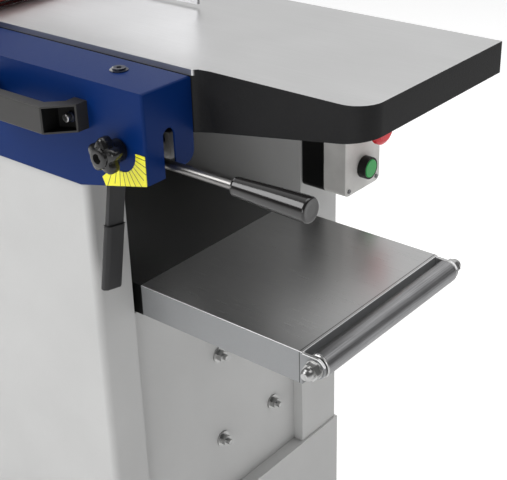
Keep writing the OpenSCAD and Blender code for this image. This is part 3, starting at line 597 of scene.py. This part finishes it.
@dataclass
class Workshop:
    """Turns nodes and profiles into finished pieces on the right bodies.

    Attributes:
        frame: What the frame's loader returned.
        crease: Angle above which an edge is broken, in degrees.
        body_of: Each node's body.
        slot_of: Each node's material slot.
        finishes: Materials made so far, by name.
    """

    frame: dict[str, Any]
    crease: float = 34.0
    body_of: dict[str, str] = field(default_factory=dict)
    slot_of: dict[str, str] = field(default_factory=dict)
    finishes: dict[str, bpy.types.Material] = field(default_factory=dict)

    def __post_init__(self) -> None:
        """Reads each node's body and material slot from the record."""
        record = self.frame["record"]
        for body, nodes in record["behaviour"]["bodies"].items():
            for node in nodes:
                self.body_of[node] = body
        for part in record["subparts"]:
            self.slot_of[part["node"]] = part["material_slot"]

    def material(self, finish: Finish) -> bpy.types.Material:
        """The finish's material, made once."""
        if finish.name not in self.finishes:
            self.finishes[finish.name] = finish.material()
        return self.finishes[finish.name]

    def piece(self, name: str, bm: bmesh.types.BMesh, finish: Finish, node: str, stands: bool) -> bpy.types.Object:
        """Makes an object of a finished mesh and puts it on its node's body.

        Args:
            name: Name of the piece.
            bm: The mesh, which is used up.
            finish: Its finish.
            node: Node whose body and slot it takes.
            stands: Whether it is shown in place of the node.

        Returns:
            The new object.
        """
        bmesh.ops.recalc_face_normals(bm, faces=bm.faces)
        for edge in bm.edges:
            edge.smooth = len(edge.link_faces) == 2 and edge.calc_face_angle(0.0) < math.radians(self.crease)
        for face in bm.faces:
            face.smooth = True
        mesh = bpy.data.meshes.new(name)
        bm.to_mesh(mesh)
        bm.free()
        made = in_scene(name, mesh)
        made.data.materials.append(self.material(finish))
        flat = made.modifiers.new("flat_faces", "WEIGHTED_NORMAL")
        flat.keep_sharp = True
        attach(made, self.body_of[node])
        if stands:
            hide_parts(node)
        LOG.info("%s: %d faces on %s", name, len(mesh.polygons), self.body_of[node])
        return made

    def outline(self, node: str) -> bmesh.types.BMesh:
        """A node's mesh with its vertices joined and its flat faces whole."""
        bm = bmesh.new()
        bm.from_mesh(self.frame["nodes"][node].data)
        bmesh.ops.remove_doubles(bm, verts=bm.verts, dist=0.004 * MM)
        bmesh.ops.dissolve_degenerate(bm, dist=0.004 * MM, edges=bm.edges)
        bmesh.ops.dissolve_limit(bm, angle_limit=math.radians(0.4), verts=bm.verts, edges=bm.edges)
        return bm

    def round_off(
        self, bm: bmesh.types.BMesh, edges: list[bmesh.types.BMEdge], width: float, rings: int, clamp: bool = False
    ) -> None:
        """Rounds the given edges of a mesh.

        Args:
            bm: The mesh.
            edges: The edges.
            width: Width of the rounding.
            rings: Number of faces across it.
            clamp: Whether it narrows where two roundings would meet.
        """
        bmesh.ops.bevel(
            bm,
            geom=edges,
            offset=width,
            offset_type="OFFSET",
            segments=rings,
            profile=0.5,
            affect="EDGES",
            clamp_overlap=clamp,
        )

    def dress(self, *plans: Dress) -> None:
        """Makes the dressed copies that stand for some nodes, with their sharp edges rounded."""
        limit = math.radians(self.crease)
        for plan in plans:
            bm = self.outline(plan.node)
            sharp = [e for e in bm.edges if len(e.link_faces) == 2 and e.calc_face_angle(0.0) > limit]
            self.round_off(bm, sharp, plan.edge * MM, plan.rings, True)
            self.piece(f"{plan.node}_dressed", bm, plan.finish, plan.node, True)

    def skin(self, bm: bmesh.types.BMesh, rings: list[list[bmesh.types.BMVert]]) -> None:
        """Joins each ring of vertices to the next one with faces."""
        for low, high in zip(rings, rings[1:]):
            for i, vert in enumerate(low):
                j = (i + 1) % len(low)
                bm.faces.new((vert, low[j], high[j], high[i]))

    def turned(
        self, profile: list[tuple[float, float]], centre: Vector, axis: Axis, steps: int = 72
    ) -> bmesh.types.BMesh:
        """Mesh of a profile turned round an axis.

        Args:
            profile: Distances along the axis with their radii.
            centre: Point on the axis that the distances start from.
            axis: Direction of the axis.
            steps: Number of faces round it.

        Returns:
            The closed mesh.
        """
        turn = {
            Axis.X: Matrix(((0, 0, 1), (1, 0, 0), (0, 1, 0))),
            Axis.Y: Matrix(((0, 1, 0), (0, 0, 1), (1, 0, 0))),
            Axis.Z: Matrix.Identity(3),
        }[axis]
        bm = bmesh.new()
        rings = []
        for along, radius in profile:
            angles = [2 * math.pi * i / steps for i in range(steps)]
            points = [Vector((radius * math.cos(a), radius * math.sin(a), along)) for a in angles]
            rings.append([bm.verts.new(centre + turn @ p) for p in points])
        self.skin(bm, rings)
        if profile[0] != profile[-1]:
            bm.faces.new(rings[0])
            bm.faces.new(rings[-1])
        else:
            bmesh.ops.remove_doubles(bm, verts=bm.verts, dist=0.001 * MM)
        return bm


@dataclass
class Cabinet:
    """Painted plinth and pillars, with the drive inside.

    Attributes:
        fold: Width of the rounded folds of the sheet metal, in millimetres.
    """

    fold: float = 1.0

    def build(self, shop: Workshop) -> None:
        """Dresses the cabinet's nodes."""
        shop.dress(
            Dress("plinth", CABINET_GREY, self.fold),
            Dress("near_pillar", CABINET_GREY, self.fold),
            Dress("far_pillar", CABINET_GREY, self.fold),
            Dress("end_plates", CABINET_GREY, 0.7),
            Dress("belt_guard", CABINET_GREY, 0.8),
            Dress("plate_bolts", ZINC, 0.8),
            Dress("clamp_pivots", ZINC, 0.6),
            Dress("hinge_brackets", ZINC, 0.8),
            Dress("column_guide", IRON_PAINT, 1.0),
            Dress("near_head_plate", IRON_PAINT, 0.8),
            Dress("far_head_plate", IRON_PAINT, 0.8),
            Dress("motor", MOTOR_GREY, 1.0),
            Dress("motor_bracket", IRON_PAINT, 0.8),
            Dress("kickback_bar", ZINC, 0.5),
            Dress("cutter_bearings", TURNED_STEEL, 0.4),
            Dress("drive_belt", BELT_RUBBER, 0.5),
            Dress("feed_chain", DARK_STEEL, 0.4),
        )


@dataclass
class CutterHead:
    """Cutterblock, knives, pulleys, feed rollers and kickback fingers.

    Attributes:
        edge: Width of the turned pieces' broken edges, in millimetres.
    """

    edge: float = 0.3

    def build(self, shop: Workshop) -> None:
        """Dresses the head's nodes."""
        shop.dress(
            Dress("cutterblock", TURNED_STEEL, self.edge),
            Dress("planer_knives", KNIFE_STEEL, 0.1),
            Dress("cutter_pulley", DARK_STEEL, 0.5),
            Dress("motor_pulley", DARK_STEEL, 0.5),
            Dress("toothed_feed_roller", DARK_STEEL, self.edge),
            Dress("smooth_feed_roller", TURNED_STEEL, self.edge),
            Dress("kickback_fingers", DARK_STEEL, 0.5),
        )


@dataclass
class LiftingTable:
    """Thickness table, its extension, the end roller and the lift.

    Attributes:
        ring: Length of the bright ring at each end of the roller.
        bore: Radius of the roller's bore.
        reach: Length of the extension's top.
        line: Distance from the extension's end to the dark line across it.
    """

    ring: float = 2.4 * MM
    bore: float = 5.08 * MM
    reach: float = 228 * MM
    line: float = 3.6 * MM

    def build(self, shop: Workshop) -> None:
        """Dresses the table's nodes and turns the end roller."""
        shop.dress(
            # The table's darker iron is painted shade inside the cabinet.
            Dress("thickness_table", THICKNESS_IRON_SHADED, 0.6),
            Dress("lifting_column", COLUMN_STEEL, 0.6),
            Dress("lifting_nut", BRONZE, 0.5),
            Dress("roller_axle", ZINC, 0.8),
            Dress("roller_nuts", ZINC, 0.5),
            Dress("elevating_screw", THREADED_STEEL, 0.4),
            Dress("handwheel_shaft", TURNED_STEEL, 0.4),
            Dress("handwheel", BLACK_NYLON, 2.0, 3),
        )
        self.extension(shop)
        self.roller(shop)

    def extension(self, shop: Workshop) -> None:
        """Dresses the extension: bright top with a line before the roller, a painted highlight along its rounded
        top edge, and satin skirts.
        """
        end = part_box("thickness_table")[1].x + self.reach
        finish = PlanedCasting(
            "extension_steel",
            (0.42, 0.42, 0.42),
            (0.23, 0.235, 0.24),
            0.29,
            grain=Axis.X.grain(14.0, 1000.0),
            groove=end - self.line,
            shine=0.5,
            # edge=1.0 paints a white highlight on the rounded top edge.
            edge=1.0,
            pit=0.12,
        )
        shop.dress(Dress("table_extension", finish, 2.4, 5))

    def roller(self, shop: Workshop) -> None:
        """Turns the brushed roller and the bright ring at each of its ends."""
        low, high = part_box("table_roller")
        radius = (high.z - low.z) / 2
        centre = Vector(((low.x + high.x) / 2, 0.0, (low.z + high.z) / 2))
        start, end, step = low.y + self.ring, high.y - self.ring, 0.5 * MM
        body = [
            (start, self.bore),
            (start, radius - step),
            (start + step, radius),
            (end - step, radius),
            (end, radius - step),
            (end, self.bore),
            (start, self.bore),
        ]
        shop.piece("roller_tube", shop.turned(body, centre, Axis.Y), ROLLER_STEEL, "table_roller", True)
        for side, edge, inner in (("near", low.y, start), ("far", high.y, end)):
            way = math.copysign(1.0, inner - edge)
            ring = [
                (edge, self.bore),
                (edge, radius - 2 * step),
                (edge + way * 1.6 * step, radius - 0.1 * step),
                (inner - way * 0.02 * MM, radius - 0.1 * step),
                (inner - way * 0.02 * MM, self.bore),
                (edge, self.bore),
            ]
            shop.piece(f"roller_ring_{side}", shop.turned(ring, centre, Axis.Y), ZINC, "table_roller", False)


@dataclass
class BowHandle:
    """Bow handle of the front cover, with a deep screw recess in each slanting foot.

    Its outline lies in the XY plane. Distances go inwards from its two ends and
    forwards from the cover.

    Attributes:
        foot: How far an end stands out before it slants.
        slant: Distance from an end to where the slant meets the bar.
        bar: Thickness of the bar.
        bar_inset: Distance from an end to the bar's inner corner.
        heel: How far the inner side of a foot stands out before it slants.
        seat: Length of a foot's seat on the cover.
        rim: Thickness of the wall round a recess.
        shallow: Distance of a recess's floor from the cover at the handle's end.
        deep: The same distance at the other side of the recess.
        soft: Radius of the handle's rounded edges.
        screw_inset: Distance from an end to the screw's axis.
        screw_front: Distance of the screw's head from the cover.
        screw_radius: Radius of the screw's head.
    """

    foot: float = 14 * MM
    slant: float = 24 * MM
    bar: float = 14 * MM
    bar_inset: float = 32 * MM
    heel: float = 13 * MM
    seat: float = 17 * MM
    rim: float = 1.9 * MM
    shallow: float = 8 * MM
    deep: float = 18 * MM
    soft: float = 1.6 * MM
    screw_inset: float = 9.5 * MM
    screw_front: float = 21 * MM
    screw_radius: float = 4.2 * MM

    def build(self, shop: Workshop) -> None:
        """Moulds the handle and puts a screw in each recess."""
        low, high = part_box("bow_handle")
        middle, half = (low.x + high.x) / 2, (high.x - low.x) / 2
        bm = self._bow(low, high)
        self._recess(shop, bm, middle, half, high.y)
        moulded = shop.piece("bow_handle_moulded", bm, GRAPHITE, "bow_handle", True)
        # Second slot: the darker nylon that paints shade on the recess walls.
        moulded.data.materials.append(shop.material(RECESS_SHADE_NYLON))
        edge, socket = 0.5 * MM, 2.1 * MM
        profile = [
            (3 * MM, socket - 0.2 * MM),
            (0.0, socket),
            (0.0, self.screw_radius - edge),
            (edge, self.screw_radius),
            (self.screw_front - self.shallow, self.screw_radius),
        ]
        for name, side in (("right", 1), ("left", -1)):
            x = middle + side * (half - self.screw_inset)
            centre = Vector((x, high.y - self.screw_front, (low.z + high.z) / 2))
            screw = shop.turned(profile, centre, Axis.Y, 32)
            shop.piece(f"handle_screw_{name}", screw, ZINC, "bow_handle", True)

    def _bow(self, low: Vector, high: Vector) -> bmesh.types.BMesh:
        """Handle with sharp edges, raised from its outline.

        Args:
            low: The handle's lowest corner.
            high: The handle's highest corner.

        Returns:
            The closed mesh.
        """
        middle, half, depth = (low.x + high.x) / 2, (high.x - low.x) / 2, high.y - low.y
        outer = [(0.0, half), (-self.foot, half), (-depth, half - self.slant)]
        inner = [(self.bar - depth, half - self.bar_inset), (-self.heel, half - self.seat), (0.0, half - self.seat)]
        right = [(middle + x, high.y + y) for y, x in outer + inner]
        left = [(2 * middle - x, y) for x, y in right]
        points = right[:3] + left[2::-1] + left[:2:-1] + right[3:]
        bm = bmesh.new()
        base = bm.faces.new([bm.verts.new((x, y, low.z)) for x, y in points])
        raised = bmesh.ops.extrude_face_region(bm, geom=[base])["geom"]
        verts = [v for v in raised if isinstance(v, bmesh.types.BMVert)]
        bmesh.ops.translate(bm, verts=verts, vec=(0, 0, high.z - low.z))
        bmesh.ops.recalc_face_normals(bm, faces=bm.faces)
        return bm

    def _is_foot(self, face: bmesh.types.BMFace, middle: float, half: float) -> bool:
        """Whether a face is the slanting front of one of the feet."""
        slanting = face.normal.y < -0.3 and abs(face.normal.x) > 0.3
        return slanting and abs(face.calc_center_median().x - middle) > half - self.slant

    def _recess(self, shop: Workshop, bm: bmesh.types.BMesh, middle: float, half: float, back: float) -> None:
        """Sinks a rectangular recess into each foot, gives its walls a darker nylon as painted shade, and rounds
        the other edges.

        Args:
            shop: Workshop that rounds the edges.
            bm: The handle's mesh.
            middle: The handle's middle along X.
            half: Half the handle's length.
            back: Where the feet stand on the cover.
        """
        faces = [f for f in bm.faces if self._is_foot(f, middle, half)]
        rim_edges = [e for e in bm.edges if e.calc_face_angle(0.0) > math.radians(20)]
        foot_edges = {e for f in faces for e in f.edges}
        soft = [e for e in rim_edges if e not in foot_edges and max(v.co.y for v in e.verts) < back - MM]
        bmesh.ops.inset_individual(bm, faces=faces, thickness=self.rim, use_even_offset=True)
        for face in faces:
            sunk = bmesh.ops.extrude_discrete_faces(bm, faces=[face])["faces"][0]
            for vert in sunk.verts:
                at_end = abs(vert.co.x - middle) > half - self.slant / 2
                vert.co.y = back - (self.shallow if at_end else self.deep)
            for wall in {f for e in sunk.edges for f in e.link_faces}:
                # Painted shade: the recess walls take the darker nylon.
                wall.material_index = 1
        shop.round_off(bm, [e for e in soft if e.is_valid], self.soft, 3)


@dataclass
class FoldingTables:
    """Surfacing tables on their frame, with the front cover and its handle.

    Attributes:
        bend: Radius of the cover's bends.
        rings: Number of faces across a bend.
        corner: Radius of the lower corner of the cover's ends.
        corner_rings: Number of faces across that corner.
        bright: Share of a cover screw's radius that is bright.
        near: Distance within which a point lies on a plane.
    """

    bend: float = 3.2 * MM
    rings: int = 5
    corner: float = 13 * MM
    corner_rings: int = 8
    bright: float = 0.82
    near: float = 0.05 * MM

    def build(self, shop: Workshop) -> None:
        """Dresses the folding unit's nodes."""
        shop.dress(
            Dress("table_frame", FRAME_GREY, 0.8),
            Dress("outfeed_table", SURFACE_IRON, 0.8),
            Dress("infeed_table", SURFACE_IRON, 0.8),
            Dress("guide_pins", ZINC, 0.5),
        )
        low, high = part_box("star_knob")
        centre = ((low.x + high.x) / 2, (low.z + high.z) / 2)
        shop.dress(Dress("scale_plate", PrintedScale("yellow_scale", (0.80, 0.76, 0.012), centre), 0.1, 1))
        low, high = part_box("cover_screws")
        radius = (high.y - low.y) / 2
        place = (high.x - radius, (low.y + high.y) / 2)
        shop.dress(Dress("cover_screws", RimmedScrew("rimmed_zinc", place, self.bright * radius), 0.25))
        self.cover(shop)
        BowHandle().build(shop)

    def cover(self, shop: Workshop) -> None:
        """Rounds the lower back corners of the cover's ends and bends its outer folds."""
        low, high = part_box("front_cover")
        bm = shop.outline("front_cover")
        corners = [e for e in bm.edges if self._is_corner(e, low, high)]
        LOG.info("front cover: %d round corners", len(corners))
        shop.round_off(bm, corners, self.corner, self.corner_rings)
        folds = [e for e in bm.edges if self._is_fold(e, low, high)]
        shop.round_off(bm, folds, self.bend, self.rings)
        shop.piece("front_cover_dressed", bm, COVER_BLUE, "front_cover", True)

    def _is_corner(self, edge: bmesh.types.BMEdge, low: Vector, high: Vector) -> bool:
        """Whether an edge is the lower back corner of one of the cover's ends."""
        points = [v.co for v in edge.verts]
        at_back = all(abs(p.y - high.y) < self.near for p in points)
        at_foot = all(low.z + 10 * MM < p.z < low.z + 60 * MM for p in points)
        through = abs(points[0].x - points[1].x) > 1.5 * MM and edge.calc_length() < 3 * MM
        return at_back and at_foot and through

    def _is_fold(self, edge: bmesh.types.BMEdge, low: Vector, high: Vector) -> bool:
        """Whether an edge is one of the cover's outer bends, where two outer walls meet."""
        points = [v.co for v in edge.verts]
        on_front = all(abs(p.y - low.y) < self.near for p in points)
        on_top = all(abs(p.z - high.z) < self.near for p in points)
        on_end = all(min(abs(p.x - low.x), abs(p.x - high.x)) < self.near for p in points)
        return edge.calc_length() > 20 * MM and on_front + on_top + on_end == 2


@dataclass
class DepthControl:
    """Depth lever, its grip, and the star knob that locks it.

    Attributes:
        lobes: Number of the knob's lobes.
        sides: Faces round the knob.
        waist: Knob's radius between two lobes, as a share of the full radius.
        steps: Number of sections along the grip's taper.
        neck: Grip's radius at its thin end, as a share of the full radius.
        bulge: Share of the taper that swells in an arc; the rest is straight.
        arc: Length of that arc in radians.
        bore: Radius of the grip's bore.
        corner: Radius of the grip's rounded end.
        hub: Radius of the knob's hub.
        hole: Radius of the hole in its front.
        lift: Angle that the first lobe is turned by, in degrees.
    """

    lobes: int = 5
    sides: int = 120
    waist: float = 0.66
    steps: int = 12
    neck: float = 0.72
    bulge: float = 0.35
    arc: float = 0.62 * math.pi
    bore: float = 5.1 * MM
    corner: float = 2.4 * MM
    hub: float = 12 * MM
    hole: float = 5.1 * MM
    lift: float = 18.0

    def build(self, shop: Workshop) -> None:
        """Dresses the lever and makes its grip and knob."""
        shop.dress(Dress("depth_lever", LEVER_STEEL, 0.4))
        self.grip(shop)
        self.knob(shop)

    def grip(self, shop: Workshop) -> None:
        """Turns the tapered grip with its rounded ends."""
        low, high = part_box("lever_grip")
        largest = (high.z - low.z) / 2
        centre = Vector((low.x, (low.y + high.y) / 2, (low.z + high.z) / 2))
        length = high.x - low.x
        neck, shoulder = self.neck * largest, length - self.corner
        profile = [(0.6 * MM, self.bore), (0.0, self.bore + MM), (0.0, neck - MM), (MM, neck)]
        profile += [(2 * MM, neck - 0.6 * MM), (2.6 * MM, neck - 0.6 * MM)]
        taper, thin, thick = 3 * MM, neck + 0.4 * MM, 0.985 * largest
        for step in range(self.steps + 1):
            share = step / self.steps
            swell = math.sin(share * self.arc) / math.sin(self.arc)
            radius = thin + (thick - thin) * (self.bulge * swell + (1 - self.bulge) * share)
            profile.append((taper + (shoulder - taper) * share, min(radius, largest)))
        rim = profile[-1][1]
        for angle in (22, 45, 68, 90):
            turn = math.radians(angle)
            profile.append((shoulder + self.corner * math.sin(turn), rim - self.corner * (1 - math.cos(turn))))
        profile += [(length - 0.3 * MM, rim * 0.6), (length - 0.4 * MM, self.bore)]
        shop.piece("lever_grip_turned", shop.turned(profile, centre, Axis.X), GRIP_BLACK, "lever_grip", True)

    def _radius(self, angle: float, reach: float) -> float:
        """Knob's radius at an angle, wide at the lobes and hollow between them."""
        swell = (0.5 + 0.5 * math.cos(self.lobes * angle)) ** 0.72
        return reach * (self.waist + (1 - self.waist) * swell)

    def knob(self, shop: Workshop) -> None:
        """Moulds the star knob: lobed head, hub behind it and a blind hole in front."""
        low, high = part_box("star_knob")
        reach = max(high.x - low.x, high.z - low.z) / 2
        centre = Vector(((low.x + high.x) / 2, 0.0, (low.z + high.z) / 2))
        head = high.y - low.y
        lift = math.radians(self.lift)
        # Sections: distance from the front in mm, share of the full radius, depth of the lobes.
        front = [(0.0, 0.44, 0.0), (0.9, 0.52, 0.0), (2.2, 0.55, 0.0), (3.6, 0.60, 0.62), (4.6, 0.86, 0.9)]
        lobed = [(6.6, 0.97, 1.0), (9, 1.0, 1.0), (14, 1.0, 1.0), (16.8, 0.965, 1.0), (18, 0.86, 0.95)]
        behind = [(18.2 * MM, self.hub, 0.0), (head, 0.98 * self.hub, 0.0), (head, self.hole, 0.0)]
        sections = [(0.0, self.hole, 0.0)]
        sections += [(along * MM, share * reach, depth) for along, share, depth in front + lobed]
        sections += behind + [sections[0]]
        bm = bmesh.new()
        rings = []
        for along, radius, share in sections:
            ring = []
            for i in range(self.sides):
                angle = 2 * math.pi * i / self.sides
                size = radius + share * (self._radius(angle - lift, radius) - radius)
                point = Vector((size * math.cos(angle), low.y + along, size * math.sin(angle)))
                ring.append(bm.verts.new(centre + point))
            rings.append(ring)
        shop.skin(bm, rings)
        bmesh.ops.remove_doubles(bm, verts=bm.verts, dist=0.001 * MM)
        shop.piece("star_knob_moulded", bm, KNOB_BLACK, "star_knob", True)


@dataclass
class ClampLevers:
    """The two levers that lock the folding tables, with their sleeves.

    Attributes:
        edge: Width of the levers' broken edges, in millimetres.
    """

    edge: float = 0.9

    def build(self, shop: Workshop) -> None:
        """Dresses both levers."""
        for side in ("right", "left"):
            shop.dress(Dress(f"clamp_lever_{side}", LEVER_GREY, self.edge))
            shop.dress(Dress(f"clamp_grip_{side}", LEVER_GREY, 2.2 * self.edge, 3))


class SwitchGear:
    """Switch box with its two buttons."""

    def build(self, shop: Workshop) -> None:
        """Dresses the box and its buttons."""
        shop.dress(
            Dress("switch_box", BOX_BLACK, 0.6),
            Dress("switch_cover", BOX_GREY, 1.6, 3),
            Dress("button_bezel", BOX_BLACK, 1.0, 3),
            Dress("switch_screws", DARK_STEEL, 0.2),
            Dress("start_button", BUTTON_GREEN, 1.2, 3),
            Dress("stop_button", BUTTON_RED, 1.2, 3),
        )


@dataclass
class FenceAndGuard:
    """Fence on its slide, and the bridge guard over the cutterblock.

    Attributes:
        edge: Width of the aluminium pieces' broken edges, in millimetres.
    """

    edge: float = 0.5

    def build(self, shop: Workshop) -> None:
        """Dresses the fence and the guard."""
        shop.dress(
            Dress("fence_slide", ALUMINIUM, self.edge),
            Dress("fence", ALUMINIUM, self.edge),
            Dress("guard_arm", ALUMINIUM, self.edge),
            Dress("guard_plate", GUARD_RED, 1.2, 3),
        )


@dataclass(frozen=True)
class Softbox:
    """One rectangular studio light.

    Attributes:
        name: Name of the light.
        place: Its middle.
        target: Point that it faces.
        size: Its width and height.
        power: Its power in watts.
    """

    name: str
    place: Triple
    target: Triple
    size: tuple[float, float]
    power: float

    def build(self) -> None:
        """Hangs the light."""
        light = bpy.data.lights.new(self.name, "AREA")
        light.shape = "RECTANGLE"
        light.size, light.size_y = self.size
        light.energy = self.power
        lamp = in_scene(self.name, light)
        lamp.location = self.place
        lamp.rotation_mode = "QUATERNION"
        lamp.rotation_quaternion = (Vector(self.target) - Vector(self.place)).to_track_quat("-Z", "Y")


@dataclass
class Studio:
    """Pale floor, soft lights and the camera.

    Attributes:
        eye: The camera's place.
        right: Direction to the picture's right.
        down: Direction to the picture's bottom.
        lens: Focal length in millimetres on a 36 mm frame.
        floor_half: Half the floor's side.
        sky: Brightness of the surroundings.
        glow: Brightness of their bright side.
        bright_side: Direction of the bright side.
        spread: Cosines between which the bright side fades in.
    """

    eye: Triple = (1.0791, -0.8854, 1.1938)
    right: Triple = (0.77099, 0.63630, -0.02642)
    down: Triple = (0.27371, -0.36853, -0.88841)
    lens: float = 79.72
    floor_half: float = 30.0
    sky: float = 0.12
    glow: float = 0.92
    bright_side: Triple = (-0.55, 0.72, 0.42)
    spread: tuple[float, float] = (0.25, 0.8)

    def build(self) -> None:
        """Sets up the studio."""
        self._world()
        self._floor()
        self._camera()
        boxes = [
            Softbox("top_light", (0.6, 0.9, 3.8), (0.3, 0.1, 0.6), (3.0, 3.0), 60.0),
            Softbox("key_light", (-1.9, -2.6, 3.2), (0.1, -0.1, 0.6), (2.4, 2.4), 110.0),
            Softbox("fill_light", (1.5, -3.0, 1.0), (0.3, 0.1, 0.65), (1.6, 1.2), 26.0),
            Softbox("floor_light", (2.6, 1.6, 3.0), (2.2, 1.4, 0.0), (2.0, 2.0), 14.0),
        ]
        for box in boxes:
            box.build()
        bpy.context.scene.view_settings.view_transform = "Standard"

    def _world(self) -> None:
        """Dim surroundings with one broad bright side, which the camera sees as white."""
        studio = Shader("studio", world=True)
        where = studio.node("ShaderNodeTexCoord", {}, {}, "Generated")
        side = Vector(self.bright_side).normalized()
        toward = studio.node("ShaderNodeVectorMath", {"operation": "DOT_PRODUCT"}, {0: where, 1: side}, "Value")
        start, end = self.spread
        limits = {"Value": toward, "From Min": start, "From Max": end, "To Min": self.sky, "To Max": self.glow}
        fade = studio.node("ShaderNodeMapRange", {"interpolation_type": "SMOOTHSTEP"}, limits)
        seen = studio.node("ShaderNodeLightPath", {}, {}, "Is Camera Ray")
        studio.set(Color=(1.0, 1.0, 1.0), Strength=seen.at_least(fade))
        bpy.context.scene.world = studio.owner

    def _floor(self) -> None:
        """Plain pale floor."""
        mesh = bpy.data.meshes.new("floor")
        s = self.floor_half
        mesh.from_pydata([(-s, -s, 0), (s, -s, 0), (s, s, 0), (-s, s, 0)], [], [(0, 1, 2, 3)])
        floor = in_scene("floor", mesh)
        shader = Shader("pale_floor")
        shader.set(Base_Color=(0.92, 0.92, 0.92), Roughness=0.9)
        shader.set(Emission_Color=(1.0, 1.0, 1.0), Emission_Strength=0.28)
        mesh.materials.append(shader.owner)

    def _camera(self) -> None:
        """Camera at a standing person's eye, to the right of the machine."""
        data = bpy.data.cameras.new("camera")
        data.lens = self.lens
        data.sensor_width = 36.0
        data.clip_start, data.clip_end = 0.01, 100.0
        camera = in_scene("camera", data)
        right, up = Vector(self.right).normalized(), -Vector(self.down).normalized()
        back = right.cross(up).normalized()
        up = back.cross(right)
        turn = Matrix((right, up, back)).transposed().to_4x4()
        camera.matrix_world = Matrix.Translation(Vector(self.eye)) @ turn
        bpy.context.scene.camera = camera


def main() -> None:
    """Dresses the whole machine."""
    logging.basicConfig(level=logging.INFO, format="%(name)s %(message)s")
    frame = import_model()
    shop = Workshop(frame)
    Studio().build()
    for assembly in (
        Cabinet(),
        CutterHead(),
        LiftingTable(),
        FoldingTables(),
        DepthControl(),
        ClampLevers(),
        SwitchGear(),
        FenceAndGuard(),
    ):
        LOG.info("building %s", type(assembly).__name__)
        assembly.build(shop)


if __name__ == "__main__":
    main()
